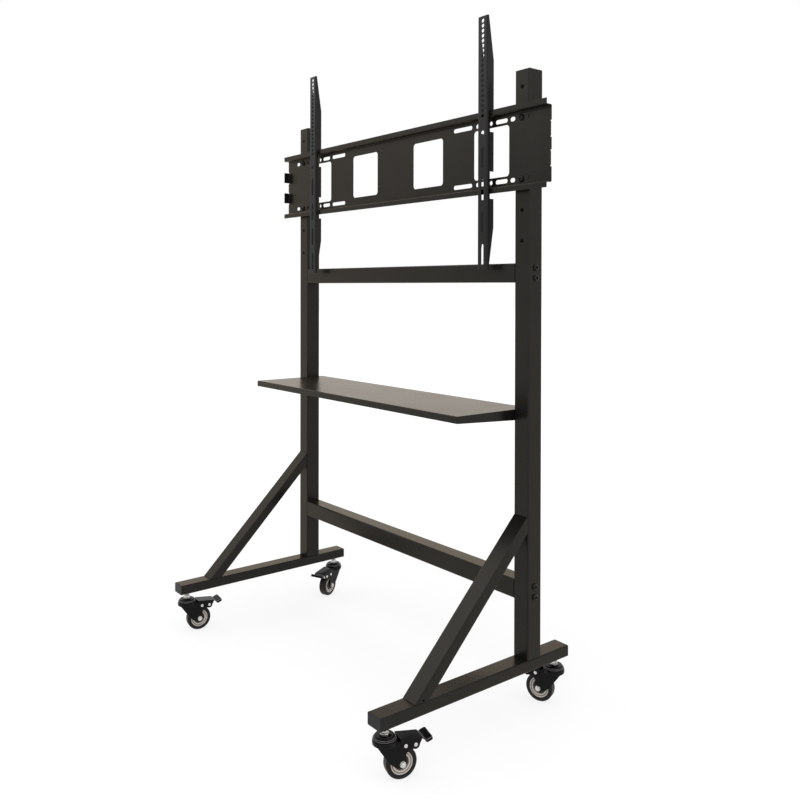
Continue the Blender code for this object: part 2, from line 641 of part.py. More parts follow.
def build_wall_plate(material):
    """Sheet folded forward and outward along both long edges into hooking lips, slotted and windowed."""
    half = PLATE_WIDTH / 2
    plate_y, lip_y = PLATE_FACE_Y + PLATE_SHEET / 2, LIP_FACE_Y + PLATE_SHEET / 2
    fold = PLATE_FLAT / 2 + PLATE_SHEET / 2
    middle = PLATE_MIDDLE_Z
    path = [(lip_y, LIP_TOP_Z), (lip_y, middle + fold), (plate_y, middle + fold),
            (plate_y, middle - fold), (lip_y, middle - fold), (lip_y, LIP_BOTTOM_Z)]
    bm = bmesh.new()
    add_prism(bm, bent_sheet(path, PLATE_SHEET, PLATE_BEND), "X", -half, half)
    plate = add_object("wall_plate", bm, material)
    holes, lugs = bmesh.new(), bmesh.new()
    front, back = PLATE_FACE_Y - PLATE_SHEET, PLATE_BACK_Y + PLATE_SHEET
    notch = PLATE_SHEET + PLATE_BEND
    for side in (-1, 1):
        for x in WINDOW_CENTRES:
            outline = rounded_box(WINDOW_WIDTH, WINDOW_HEIGHT, WINDOW_CORNER, (side * x, middle))
            add_prism(holes, outline, "Y", front, back)
        for z in PLATE_BOLT_Z:
            add_prism(holes, circle(BOLT_HOLE, BOLT_SIDES, (side * POST_X, z)), "Y", front, back)
            for start, end in SLOT_SPANS:
                outline = slot(end - start, SLOT_HEIGHT, (side * (start + end) / 2, z))
                add_prism(holes, outline, "Y", front, back)
        for up in (-1, 1):
            lug_z = middle + up * LUG_SPREAD
            gap = LUG_HEIGHT / 2 + LUG_RELIEF
            outline = [(side * (half - notch), lug_z - gap), (side * (half + notch), lug_z - gap),
                       (side * (half + notch), lug_z + gap), (side * (half - notch), lug_z + gap)]
            add_prism(holes, outline, "Y", front, back)
            end_x = half - PLATE_SHEET / 2
            path = [(side * (half - 2 * notch), plate_y), (side * end_x, plate_y),
                    (side * end_x, LIP_FACE_Y)]
            outline = bent_sheet(path, PLATE_SHEET, PLATE_BEND)
            add_prism(lugs, outline, "Z", lug_z - LUG_HEIGHT / 2, lug_z + LUG_HEIGHT / 2)
    combine(plate, holes, "cutouts", "DIFFERENCE")
    combine(plate, lugs, "lugs", "UNION")


def arm_side_outline():
    """Side view of an arm: tapered ends, a hook over the upper lip and a notch past the lower one."""
    face, back = ARM_FACE_Y, ARM_BACK_Y
    hook_z = LIP_TOP_Z + SEAT
    lower_z = LIP_BOTTOM_Z - LOWER_NOTCH_BELOW
    hook_y = LIP_BACK_Y + ARM_LIP_PLAY
    return [(face, ARM_BOTTOM_Z), (face + ARM_END_DEPTH, ARM_BOTTOM_Z),
            (back, ARM_BOTTOM_Z + ARM_BOTTOM_TAPER), (back, lower_z), (NOTCH_Y, lower_z),
            (NOTCH_Y, lower_z + LOWER_NOTCH), (back, lower_z + LOWER_NOTCH),
            (back, hook_z - UPPER_NOTCH), (NOTCH_Y, hook_z - UPPER_NOTCH), (NOTCH_Y, hook_z),
            (hook_y, hook_z), (hook_y, hook_z - HOOK_DROP), (back, hook_z - HOOK_DROP),
            (back, ARM_TOP_Z - ARM_TOP_TAPER), (face + ARM_END_DEPTH, ARM_TOP_Z), (face, ARM_TOP_Z)]


def build_arm(x, name, material):
    """Channel open to the rear: the folded section trimmed to its side view, then pierced in front."""
    half, over = ARM_WIDTH / 2, ARM_SHEET
    side_x, web_y = half - ARM_SHEET / 2, ARM_SHEET / 2
    path = [(-side_x, ARM_DEPTH + over), (-side_x, web_y), (side_x, web_y), (side_x, ARM_DEPTH + over)]
    bm = bmesh.new()
    add_prism(bm, bent_sheet(path, ARM_SHEET, ARM_BEND), "Z", ARM_BOTTOM_Z - over, ARM_TOP_Z + over)
    arm = add_object(name, bm, material)
    arm.location = (x, ARM_FACE_Y, 0.0)
    trim = bmesh.new()
    outline = [(y - ARM_FACE_Y, z) for y, z in arm_side_outline()]
    outline = [(y - over if y < over / 2 else y, z) for y, z in outline]
    add_prism(trim, outline, "X", -half - over, half + over)
    combine(arm, trim, "side_view", "INTERSECT")
    holes = bmesh.new()
    for index in range(ARM_HOLE_COUNT):
        z = ARM_TOP_Z - ARM_HOLE_FIRST - index * ARM_HOLE_PITCH
        add_prism(holes, circle(ARM_HOLE_RADIUS, ARM_HOLE_SIDES, (0.0, z)), "Y", -over, 2 * over)
    single = bmesh.new()
    bore = circle(ARM_SINGLE_RADIUS, ARM_HOLE_SIDES, (0.0, ARM_TOP_Z - ARM_SINGLE_DROP))
    add_prism(single, bore, "Y", -over, 2 * over)
    slots = bmesh.new()
    for index in range(ARM_SLOT_COUNT):
        z = ARM_TOP_Z - ARM_SLOT_FIRST - index * ARM_SLOT_PITCH
        outline = [(a, b) for b, a in slot(ARM_SLOT_LENGTH, 2 * ARM_SLOT_RADIUS, (z, 0.0))]
        add_prism(slots, outline, "Y", -over, 2 * over)
    combine(arm, holes, "holes", "DIFFERENCE")
    combine(arm, single, "single_hole", "DIFFERENCE")
    combine(arm, slots, "slots", "DIFFERENCE")
    for label in ("side_view", "holes", "single_hole", "slots"):
        bpy.data.objects[name + "_" + label].location = arm.location


def build_bolt(name, seat, direction, length, material):
    bm = bmesh.new()
    add_bolt(bm, seat, direction, length)
    add_object(name, bm, material)


def build_bolts(material):
    """The bolts that show: beams to posts, braces to posts, wall plate to posts."""
    reach = 2 * SEAT + WELD_INSET + END_PLATE + BOLT_END
    for side, word in ((-1, "left"), (1, "right")):
        for index, z in enumerate(BEAM_BOLT_Z):
            beam, row = BEAM_BOLT_NAMES[index]
            seat = (side * (POST_OUTER_X + SEAT), POST_MIDDLE_Y, z)
            name = f"{beam}_beam_bolt_{row}_{word}"
            build_bolt(name, seat, (side, 0.0, 0.0), POST_WIDTH + reach, material)
        seat = (side * POST_X, POST_REAR_Y + SEAT, BRACE_BOLT_Z)
        build_bolt("brace_bolt_" + word, seat, (0.0, 1.0, 0.0), POST_DEPTH + reach, material)
        for row, z in zip(("top", "bottom"), PLATE_BOLT_Z):
            seat = (side * POST_X, PLATE_FACE_Y - SEAT, z)
            length = PLATE_SHEET + 2 * SEAT + INSERT_LENGTH
            build_bolt(f"wall_plate_bolt_{row}_{word}", seat, (0.0, -1.0, 0.0), length, material)


def build_stem(name, material, parent):
    """Threaded stud with hexagon collar, domed race cover and king pin in one."""
    bm = bmesh.new()
    king_foot = FORK_CROWN_FOOT - SEAT
    flange = COLLAR_FOOT_Z + WASHER_HEIGHT
    profile = [(KING_HEAD_RADIUS, king_foot - KING_HEAD), (KING_HEAD_RADIUS, king_foot),
               (KING_RADIUS, king_foot), (KING_RADIUS, CUP_FOOT_Z), (CUP_RADIUS, CUP_FOOT_Z),
               (CUP_RADIUS, CUP_FOOT_Z + CUP_RIM), (CUP_TOP_RADIUS, CUP_TOP_Z),
               (WASHER_RADIUS, flange), (STUD_RADIUS, flange),
               (STUD_RADIUS, RAIL_BOTTOM_Z + STUD_IN_RAIL)]
    add_turned(bm, profile, STEM_SIDES, Matrix())
    stem = add_object(name, bm, material, parent)
    collar = bmesh.new()
    hexagon = circle(COLLAR_FLATS / math.sqrt(3), 6, turn=COLLAR_TURN)
    add_prism(collar, hexagon, "Z", flange - WASHER_HEIGHT / 2, COLLAR_TOP_Z)
    combine(stem, collar, "collar", "UNION")


def build_fork(name, material, parent):
    """Pressed swivel fork: a round crown and two cheeks with round bosses at the axle."""
    bm = bmesh.new()
    profile = [(KING_RADIUS + SEAT, FORK_CROWN_FOOT), (KING_RADIUS + SEAT, FORK_CROWN_TOP),
               (FORK_CROWN_RADIUS - FORK_ROUND, FORK_CROWN_TOP),
               (FORK_CROWN_RADIUS, FORK_CROWN_TOP - FORK_ROUND), (FORK_CROWN_RADIUS, FORK_CROWN_FOOT)]
    add_turned(bm, profile, CROWN_SIDES, Matrix(), closed=True)
    fork = add_object(name, bm, material, parent)
    cheeks, holes = bmesh.new(), bmesh.new()
    crown_z = (FORK_CROWN_FOOT + FORK_CROWN_TOP) / 2
    boss = arc((TRAIL, WHEEL_RADIUS), FORK_BOSS_RADIUS, 215, 380, 4)
    rear_x, front_x = FORK_CROWN_RADIUS - CHEEK_REAR_INSET, CHEEK_FRONT_INSET - FORK_CROWN_RADIUS
    outline = ([(FORK_ARM_ALONG, PEDAL_PIN_HEIGHT + PIN_HEAD_RADIUS), (rear_x, crown_z),
                (front_x, crown_z), (front_x, FORK_CROWN_FOOT)]
               + CHEEK_FRONT + boss + CHEEK_REAR)
    for side in (-1, 1):
        add_prism(cheeks, outline, "Y", side * FORK_INNER, side * FORK_OUTER)
        hole = circle(AXLE_RADIUS + AXLE_PLAY, PIN_HOLE_SIDES, (TRAIL, WHEEL_RADIUS))
        add_prism(holes, hole, "Y", side * (FORK_INNER - FORK_CHEEK), side * (FORK_OUTER + FORK_CHEEK))
    rivet = bmesh.new()
    axis = aim((PEDAL_PIN_ALONG, 0.0, PEDAL_PIN_HEIGHT), (0.0, 1.0, 0.0))
    profile = across(2 * (PEDAL_OUTER + SEAT), PIN_RADIUS, PIN_HEAD_RADIUS, PIN_HEAD)
    add_turned(rivet, profile, PIN_SIDES, axis)
    combine(fork, cheeks, "cheeks", "UNION")
    combine(fork, holes, "holes", "DIFFERENCE")
    combine(fork, rivet, "pedal_rivet", "UNION")


def across(length, radius, head_radius, head):
    """Profile of a headed pin centred on its middle, turned about the sideways axis."""
    half = length / 2
    return [(head_radius, half + head), (head_radius, half), (radius, half),
            (radius, -half), (head_radius, -half), (head_radius, -half - head)]


def build_wheel(caster, materials, swivel):
    """Tyre, core and axle, all centred on the wheel's own axis."""
    hub = bpy.data.objects.new("wheel_axis_" + caster, None)
    bpy.context.scene.collection.objects.link(hub)
    hub.parent = swivel
    hub.location = (TRAIL, 0.0, WHEEL_RADIUS)
    axis = aim((0.0, 0.0, 0.0), (0.0, 1.0, 0.0))
    facet = 180.0 / WHEEL_SIDES
    half, shoulder = TYRE_WIDTH / 2, TYRE_SHOULDER
    tread = WHEEL_RADIUS / math.cos(math.radians(facet))
    flat_down = 90.0 + facet
    seat = CORE_RADIUS + SEAT
    profile = [(seat, -half), (tread - shoulder, -half), (tread, -half + shoulder),
               (tread, half - shoulder), (tread - shoulder, half), (seat, half)]
    bm = bmesh.new()
    add_turned(bm, profile, WHEEL_SIDES, axis, closed=True, turn=flat_down)
    add_object("tyre_" + caster, bm, materials["tyre"], hub)
    rim = half - CORE_STEP
    bore = AXLE_RADIUS + AXLE_PLAY
    right = [(CORE_RADIUS, rim), (CORE_RECESS_RADIUS, rim - CORE_RECESS), (bore, rim - CORE_RECESS)]
    profile = right + [(radius, -along) for radius, along in reversed(right)]
    bm = bmesh.new()
    add_turned(bm, profile, WHEEL_SIDES, axis, closed=True, turn=flat_down)
    add_object("wheel_core_" + caster, bm, materials["core"], hub)
    bm = bmesh.new()
    length = 2 * (FORK_OUTER + SEAT)
    add_turned(bm, across(length, AXLE_RADIUS, AXLE_HEAD_FLATS / 2, AXLE_HEAD), PIN_SIDES, axis)
    axle = add_object("axle_" + caster, bm, materials["bright"], swivel)
    axle.location = (TRAIL, 0.0, WHEEL_RADIUS)


def pedal_point(along, height):
    """A place in the fork's side view, measured from the pedal's pivot."""
    return (along - PEDAL_PIN_ALONG, height - PEDAL_PIN_HEIGHT)


def build_pedal(caster, materials, swivel):
    """Foot pedal that rocks on the fork's rivet, and the brake shoe that it carries."""
    pivot = bpy.data.objects.new("pedal_axis_" + caster, None)
    bpy.context.scene.collection.objects.link(pivot)
    pivot.parent = swivel
    pivot.location = (PEDAL_PIN_ALONG, 0.0, PEDAL_PIN_HEIGHT)
    start = pedal_point(PEDAL_START, PEDAL_START_HEIGHT)
    step = pedal_point(PEDAL_STEP_ALONG, PEDAL_STEP_HEIGHT)
    pad_start = pedal_point(PAD_START, PAD_START_HEIGHT)
    pad_end = pedal_point(PAD_END, PAD_END_HEIGHT)
    shoe_pin = pedal_point(SHOE_PIN_ALONG, SHOE_PIN_HEIGHT)
    bm = bmesh.new()
    add_prism(bm, bent_sheet([start, step, pad_start, pad_end], PEDAL_SHEET, PEDAL_SHEET / 2, 1), "Y",
              -PEDAL_OUTER, PEDAL_OUTER)
    pedal = add_object("brake_pedal_" + caster, bm, materials["frame"], pivot)
    joined, holes = bmesh.new(), bmesh.new()
    pad = bent_sheet([pad_start, pad_end], PAD_THICKNESS, 0.0)
    add_prism(joined, pad, "Y", -PAD_WIDTH / 2, PAD_WIDTH / 2)
    tab = arc(shoe_pin, PEDAL_TAB_RADIUS, -120, 0, 2)
    toe = arc((0.0, 0.0), PEDAL_TAB_RADIUS, 190, 290, 2)
    outline = [start] + toe + tab + [(step[0], step[1])]
    for side in (-1, 1):
        add_prism(joined, outline, "Y", side * PEDAL_INNER, side * PEDAL_OUTER)
        for centre in ((0.0, 0.0), shoe_pin):
            hole = circle(PIN_RADIUS + AXLE_PLAY, PIN_HOLE_SIDES, centre)
            start_y, end_y = side * (PEDAL_INNER - PEDAL_SHEET), side * (PEDAL_OUTER + PEDAL_SHEET)
            add_prism(holes, hole, "Y", start_y, end_y)
    combine(pedal, joined, "pad_and_sides", "UNION")
    combine(pedal, holes, "holes", "DIFFERENCE")
    profile = across(2 * (PEDAL_OUTER + SEAT), PIN_RADIUS, PIN_HEAD_RADIUS, PIN_HEAD)
    bm = bmesh.new()
    add_turned(bm, profile, PIN_SIDES, aim((shoe_pin[0], 0.0, shoe_pin[1]), (0.0, 1.0, 0.0)))
    shoe = add_object("brake_shoe_" + caster, bm, materials["bright"], pivot)
    block = bmesh.new()
    toward = Vector((TRAIL - SHOE_PIN_ALONG, WHEEL_RADIUS - SHOE_PIN_HEIGHT))
    gap = toward.length - WHEEL_RADIUS
    toward.normalize()
    square = Vector((-toward.y, toward.x))
    middle = Vector(shoe_pin)
    foot = middle + toward * (gap - SHOE_LIFT)
    head, head_half = middle - toward * SHOE_THICKNESS / 2, square * SHOE_THICKNESS / 2
    foot_half = square * SHOE_LENGTH / 2
    corners = [head + head_half, foot + foot_half, foot - foot_half, head - head_half]
    add_prism(block, [tuple(corner) for corner in corners], "Y", -SHOE_WIDTH / 2, SHOE_WIDTH / 2)
    combine(shoe, block, "block", "UNION")


def build_caster(caster, materials):
    x, y, angle = CASTERS[caster]
    swivel = bpy.data.objects.new("swivel_axis_" + caster, None)
    bpy.context.scene.collection.objects.link(swivel)
    swivel.location = (x, y, 0.0)
    swivel.rotation_euler = (0.0, 0.0, math.radians(angle))
    build_stem("stem_" + caster, materials["bright"], swivel)
    build_fork("fork_" + caster, materials["frame"], swivel)
    build_wheel(caster, materials, swivel)
    build_pedal(caster, materials, swivel)


def build_stand():
    clear_scene()
    materials = {
        "frame": make_material("black_powder_coat", (0.030, 0.029, 0.028), 0.42),
        "plastic": make_material("black_plastic", (0.022, 0.022, 0.022), 0.50),
        "bolt": make_material("black_bolt_steel", (0.020, 0.020, 0.020), 0.38, 0.6),
        "bright": make_material("bright_zinc", (0.62, 0.61, 0.58), 0.30, 1.0),
        "tyre": make_material("dark_tread", (0.016, 0.014, 0.012), 0.45),
        "core": make_material("pale_grey_core", (0.42, 0.38, 0.34), 0.40),
    }
    for side, word in ((-1, "left"), (1, "right")):
        build_post(side, "post_" + word, materials["frame"])
        build_rail(side, "foot_rail_" + word, materials["frame"])
        build_brace(side, "brace_" + word, materials["frame"])
    build_beam(UPPER_BEAM_Z, "upper_beam", materials["frame"])
    build_beam(LOWER_BEAM_Z, "lower_beam", materials["frame"])
    build_caps(materials["plastic"])
    build_shelf(materials["frame"])
    build_wall_plate(materials["frame"])
    build_arm(ARM_LEFT_X, "arm_left", materials["frame"])
    build_arm(ARM_RIGHT_X, "arm_right", materials["frame"])
    build_bolts(materials["bolt"])
    for caster in CASTERS:
        build_caster(caster, materials)


build_stand()
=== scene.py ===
import json
import math

import bmesh
import bpy
from mathutils import Matrix, Vector


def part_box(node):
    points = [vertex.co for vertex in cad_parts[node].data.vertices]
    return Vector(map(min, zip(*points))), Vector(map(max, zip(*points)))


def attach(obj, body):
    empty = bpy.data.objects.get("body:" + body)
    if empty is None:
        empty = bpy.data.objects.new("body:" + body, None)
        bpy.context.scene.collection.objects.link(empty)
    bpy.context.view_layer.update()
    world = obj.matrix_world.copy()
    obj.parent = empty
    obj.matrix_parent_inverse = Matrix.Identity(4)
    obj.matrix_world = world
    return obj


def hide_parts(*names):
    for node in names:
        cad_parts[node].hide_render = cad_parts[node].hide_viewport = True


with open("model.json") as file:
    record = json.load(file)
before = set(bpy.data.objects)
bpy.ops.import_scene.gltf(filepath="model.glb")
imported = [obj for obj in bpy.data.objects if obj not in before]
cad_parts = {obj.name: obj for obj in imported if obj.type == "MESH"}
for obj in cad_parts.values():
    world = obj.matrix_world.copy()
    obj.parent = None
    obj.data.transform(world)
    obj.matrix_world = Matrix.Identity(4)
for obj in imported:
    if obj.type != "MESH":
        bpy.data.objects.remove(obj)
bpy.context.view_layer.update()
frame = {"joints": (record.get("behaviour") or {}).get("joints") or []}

# The view: a level camera at chest height, ahead of the stand's right corner, as the
# stand is photographed for a catalogue.
VIEW_PLACE = (2.0218, -1.4302, 1.1110)
VIEW_YAW = 0.9000
VIEW_PITCH = math.radians(-0.439)
VIEW_ROLL = math.radians(0.118)
VIEW_LENS = 37.87
VIEW_SHIFT = (0.0001, -0.1337)

scene = bpy.context.scene
scene.view_settings.view_transform = "Standard"
look = Vector((-math.sin(VIEW_YAW) * math.cos(VIEW_PITCH), math.cos(VIEW_YAW) * math.cos(VIEW_PITCH),
               math.sin(VIEW_PITCH)))
level = Vector((math.cos(VIEW_YAW), math.sin(VIEW_YAW), 0.0))
upright = level.cross(look)
right = level * math.cos(VIEW_ROLL) + upright * math.sin(VIEW_ROLL)
up = upright * math.cos(VIEW_ROLL) - level * math.sin(VIEW_ROLL)
view = bpy.data.objects.new("view", bpy.data.cameras.new("view"))
view.data.lens = VIEW_LENS
view.data.sensor_width = 36.0
view.data.shift_x, view.data.shift_y = VIEW_SHIFT
view.data.clip_start = 0.01
view.matrix_world = Matrix.Translation(VIEW_PLACE) @ Matrix((right, up, -look)).transposed().to_4x4()
scene.collection.objects.link(view)
scene.camera = view


# The studio: a pale room without corners, one wide lamp overhead and three weaker ones in
# front, to the right and to the left. Each lamp is a plain white square.
class Wire:
    """A socket of a shader tree, used in plain sums; node() adds any other node."""

    def __init__(self, tree, socket=None):
        self.tree = tree
        self.socket = socket

    def node(self, kind, settings=None, inputs=None, out=0):
        made = self.tree.nodes.new(kind)
        for key, value in (settings or {}).items():
            setattr(made, key, value)
        for key, value in (inputs or {}).items():
            if isinstance(value, Wire):
                self.tree.links.new(value.socket, made.inputs[key])
            else:
                made.inputs[key].default_value = value
        return Wire(self.tree, made.outputs[out] if made.outputs else None)

    def math(self, operation, first, second=0.0):
        return self.node("ShaderNodeMath", {"operation": operation}, {0: first, 1: second})

    def __add__(self, other):
        return self.math("ADD", self, other)

    def __sub__(self, other):
        return self.math("SUBTRACT", self, other)

    def __rsub__(self, other):
        return self.math("SUBTRACT", other, self)

    def __mul__(self, other):
        return self.math("MULTIPLY", self, other)

    __radd__ = __add__
    __rmul__ = __mul__

    def larger(self, other):
        return self.math("MAXIMUM", self, other)

    def blend(self, low, high):
        """Colour between low and high, by this value. Mix has its colours at 6, 7 and 2."""
        colours = {0: self, 6: (*low, 1.0), 7: (*high, 1.0)}
        return self.node("ShaderNodeMix", {"data_type": "RGBA"}, colours, out=2)

    def bump(self, strength, depth):
        """Bumps from this height, as deep as depth in metres."""
        return self.node("ShaderNodeBump", inputs={"Strength": strength, "Distance": depth, "Height": self})

    def speckle(self, scale, detail):
        """Noise over the piece's own coordinates, which are metres."""
        place_on = self.node("ShaderNodeTexCoord", out="Object")
        return self.node("ShaderNodeTexNoise", inputs={"Vector": place_on, "Scale": scale, "Detail": detail})

    def plain_rays(self):
        """1 on the rays that meet the plain white: camera, glossy and transmission."""
        seen = self.node("ShaderNodeLightPath", out="Is Camera Ray")
        for ray in ("Is Glossy Ray", "Is Transmission Ray"):
            seen = seen.larger(self.node("ShaderNodeLightPath", out=ray))
        return seen


ROOM_WHITE = (1.0, 1.0, 1.0)
ROOM_LIGHT = 0.62
FLOOR_SHADE = (0.90, 0.90, 0.90)
FLOOR_PAPER = 0.72
FLOOR_WHITE = 1.10
FLOOR_FADE = (0.9, 2.4)
FLOOR_REACH = 30.0
# Each lamp's name, its place, the point that it faces, its width and its power.
LAMPS = (
    ("lamp_over", (0.3, -0.4, 4.2), (0.0, 0.1, 0.9), 3.6, 44.0),
    ("lamp_front", (2.6, -3.6, 2.3), (0.0, 0.1, 0.9), 2.6, 17.0),
    ("lamp_side", (3.6, 0.9, 2.6), (0.0, 0.1, 0.9), 2.4, 21.0),
    ("lamp_left", (-2.3, -1.7, 3.2), (0.5, 0.0, 0.4), 2.2, 18.0),
)

room = bpy.data.worlds.new("room")
scene.world = room
room.use_nodes = True
room.node_tree.nodes.clear()
wire = Wire(room.node_tree)
lit = wire.node("ShaderNodeBackground", inputs={"Color": (*ROOM_WHITE, 1.0), "Strength": ROOM_LIGHT})
shown = wire.node("ShaderNodeBackground", inputs={"Color": (*ROOM_WHITE, 1.0), "Strength": 1.0})
mixed = wire.node("ShaderNodeMixShader", inputs={0: wire.plain_rays(), 1: lit, 2: shown})
wire.node("ShaderNodeOutputWorld", inputs={"Surface": mixed})

paper = bpy.data.materials.new("floor_paper")
paper.use_nodes = True
paper.node_tree.nodes.clear()
wire = Wire(paper.node_tree)
dull = wire.node("ShaderNodeBsdfDiffuse", inputs={"Color": (*FLOOR_SHADE, 1.0)})
glow = wire.node("ShaderNodeEmission", inputs={"Color": (*ROOM_WHITE, 1.0), "Strength": FLOOR_WHITE})
place_on = wire.node("ShaderNodeTexCoord", out="Object")
reach = wire.node("ShaderNodeVectorMath", {"operation": "LENGTH"}, {0: place_on}, out="Value")
fade = wire.node("ShaderNodeMapRange", {"interpolation_type": "SMOOTHSTEP"},
                 {"Value": reach, "From Min": FLOOR_FADE[0], "From Max": FLOOR_FADE[1],
                  "To Min": FLOOR_PAPER, "To Max": 1.0})
mixed = wire.node("ShaderNodeMixShader", inputs={0: wire.plain_rays() * fade, 1: dull, 2: glow})
wire.node("ShaderNodeOutputMaterial", inputs={"Surface": mixed})
bm = bmesh.new()
bmesh.ops.create_grid(bm, x_segments=1, y_segments=1, size=FLOOR_REACH)
floor_mesh = bpy.data.meshes.new("floor")
bm.to_mesh(floor_mesh)
bm.free()
floor = bpy.data.objects.new("floor", floor_mesh)
floor.data.materials.append(paper)
scene.collection.objects.link(floor)

for name, stand_at, look_at, width, power in LAMPS:
    lamp = bpy.data.objects.new(name, bpy.data.lights.new(name, "AREA"))
    lamp.data.shape = "SQUARE"
    lamp.data.size = width
    lamp.data.energy = power
    toward = Vector(look_at) - Vector(stand_at)
    lamp.matrix_world = Matrix.Translation(stand_at) @ toward.to_track_quat("-Z", "Y").to_matrix().to_4x4()
    scene.collection.objects.link(lamp)


# The posts: square steel tube with rounded corners, powder coated. Each has a row of
# threaded inserts down its front, from which the wall plate hangs.
COAT_DARK = (0.0160, 0.0154, 0.0142)
COAT_LIGHT = (0.0234, 0.0226, 0.0208)
COAT_ROUGH = 0.27
COAT_METAL = 0.6
COAT_SHEEN = (1.0, 0.87, 0.72, 1.0)
COAT_IOR = 1.28
PEEL_DEPTH = 0.0002
TUBE_WALL = 0.002
TUBE_CORNER = 0.004
INSERT_COUNT = 6
INSERT_PITCH = 0.079
INSERT_DROP = 0.044
INSERT_HOLE = 0.0055
SOFT_EDGE = 0.0004
SHARP_ANGLE = 32.0
HOLE_SIDES = 28


def new_finish(name):
    material = bpy.data.materials.new(name)
    material.use_nodes = True
    return material, Wire(material.node_tree)


def set_finish(material, tone, gloss, bump, constants):
    """Link what varies over a finish to its shader, and set what stays the same."""
    shader = material.node_tree.nodes["Principled BSDF"]
    for key, value in (("Base Color", tone), ("Roughness", gloss), ("Normal", bump)):
        material.node_tree.links.new(value.socket, shader.inputs[key])
    for key, value in constants.items():
        shader.inputs[key].default_value = value
    return material


def powder_coat(name, dark, light, rough, peel=0.07, **constants):
    """Powder coat: fine orange peel, with faint drifts of tone and of gloss."""
    material, wire = new_finish(name)
    drift = wire.speckle(9.0, 3.0)
    grain = wire.speckle(900.0, 2.0)
    pits = wire.speckle(2600.0, 1.0)
    tone = (drift * 0.7 + grain * 0.3).blend(dark, light)
    gloss = rough + (drift - 0.5) * 0.05 + (grain - 0.5) * 0.08
    bump = (grain * 0.7 + pits * 0.3).bump(peel, PEEL_DEPTH)
    return set_finish(material, tone, gloss, bump, {"IOR": COAT_IOR, **constants})


def arc(centre, radius, start, end, steps):
    angles = [math.radians(start + (end - start) * index / steps) for index in range(steps + 1)]
    return [(centre[0] + radius * math.cos(angle), centre[1] + radius * math.sin(angle)) for angle in angles]


def rounded_box(width, height, corner, centre=(0.0, 0.0), steps=6):
    """Outline of a box with rounded corners, anticlockwise."""
    a, b = width / 2 - corner, height / 2 - corner
    points = []
    for quarter, (along, across) in enumerate(((a, b), (-a, b), (-a, -b), (a, -b))):
        points += arc((centre[0] + along, centre[1] + across), corner, 90 * quarter, 90 * quarter + 90, steps)
    return points


def place(axis, a, b, along):
    return Vector({"X": (along, a, b), "Y": (a, along, b), "Z": (a, b, along)}[axis])


def skin(bm, rings, closed=False):
    """Join rings of equal length into a solid, capped at both ends or closed on itself."""
    loops = [[bm.verts.new(point) for point in ring] for ring in rings]
    pairs = list(zip(loops, loops[1:])) + ([(loops[-1], loops[0])] if closed else [])
    for low, high in pairs:
        for i in range(len(low)):
            j = (i + 1) % len(low)
            bm.faces.new((low[i], low[j], high[j], high[i]))
    if not closed:
        bm.faces.new(loops[0])
        bm.faces.new(loops[-1])
    return bm


def prism(outline, axis, start, end, bm=None):
    return skin(bm or bmesh.new(), [[place(axis, a, b, along) for a, b in outline] for along in (start, end)])


def steel_tube(axis, width, height, centre, start, end):
    outer = rounded_box(width, height, TUBE_CORNER, centre)
    inner = rounded_box(width - 2 * TUBE_WALL, height - 2 * TUBE_WALL, TUBE_CORNER - TUBE_WALL, centre)
    steps = ((outer, start), (outer, end), (inner, end), (inner, start))
    rings = [[place(axis, a, b, along) for a, b in line] for line, along in steps]
    return skin(bmesh.new(), rings, closed=True)


def mesh_object(name, bm, sharp=SHARP_ANGLE):
    bmesh.ops.recalc_face_normals(bm, faces=bm.faces)
    mesh = bpy.data.meshes.new(name)
    bm.to_mesh(mesh)
    bm.free()
    mesh.shade_smooth()
    mesh.set_sharp_from_angle(angle=math.radians(sharp))
    item = bpy.data.objects.new(name, mesh)
    scene.collection.objects.link(item)
    return item


def settle(item):
    """Turn an object and its modifiers into one plain mesh."""
    graph = bpy.context.evaluated_depsgraph_get()
    graph.update()
    mesh = bpy.data.meshes.new_from_object(item.evaluated_get(graph), depsgraph=graph)
    item.modifiers.clear()
    item.data = mesh
    mesh.name = item.name
    return item


def shape(name, bm, cuts=(), joins=(), trims=(), edge=SOFT_EDGE):
    """Cut, join and trim a solid, then soften its edges."""
    item = mesh_object(name, bm)
    tools = [("INTERSECT", tool) for tool in trims] + [("UNION", tool) for tool in joins]
    tools += [("DIFFERENCE", tool) for tool in cuts]
    held = []
    for index, (operation, tool) in enumerate(tools):
        if not isinstance(tool, bpy.types.Object):
            tool = mesh_object(f"{name}_tool_{index}", tool)
        held.append(tool)
        modifier = item.modifiers.new("tool", "BOOLEAN")
        modifier.operation = operation
        modifier.solver = "EXACT"
        modifier.object = tool
    if edge:
        modifier = item.modifiers.new("edge", "BEVEL")
        modifier.width = edge
        modifier.segments = 2
        modifier.limit_method = "ANGLE"
        modifier.angle_limit = math.radians(34.0)
        modifier.use_clamp_overlap = True
    if item.modifiers:
        settle(item)
    for tool in held:
        bpy.data.objects.remove(tool, do_unlink=True)
    item.data.shade_smooth()
    if not edge:
        item.data.set_sharp_from_angle(angle=math.radians(SHARP_ANGLE))
    return item


def dress(item, material, body, slot_name, *nodes):
    """Even out a piece's normals, give it its finish and its body, and hide the CAD nodes that it replaces.
    """
    item.modifiers.new("normals", "WEIGHTED_NORMAL").keep_sharp = True
    settle(item)
    item.data.materials.clear()
    item.data.materials.append(material)
    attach(item, body)
    if nodes:
        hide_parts(*nodes)
    return item


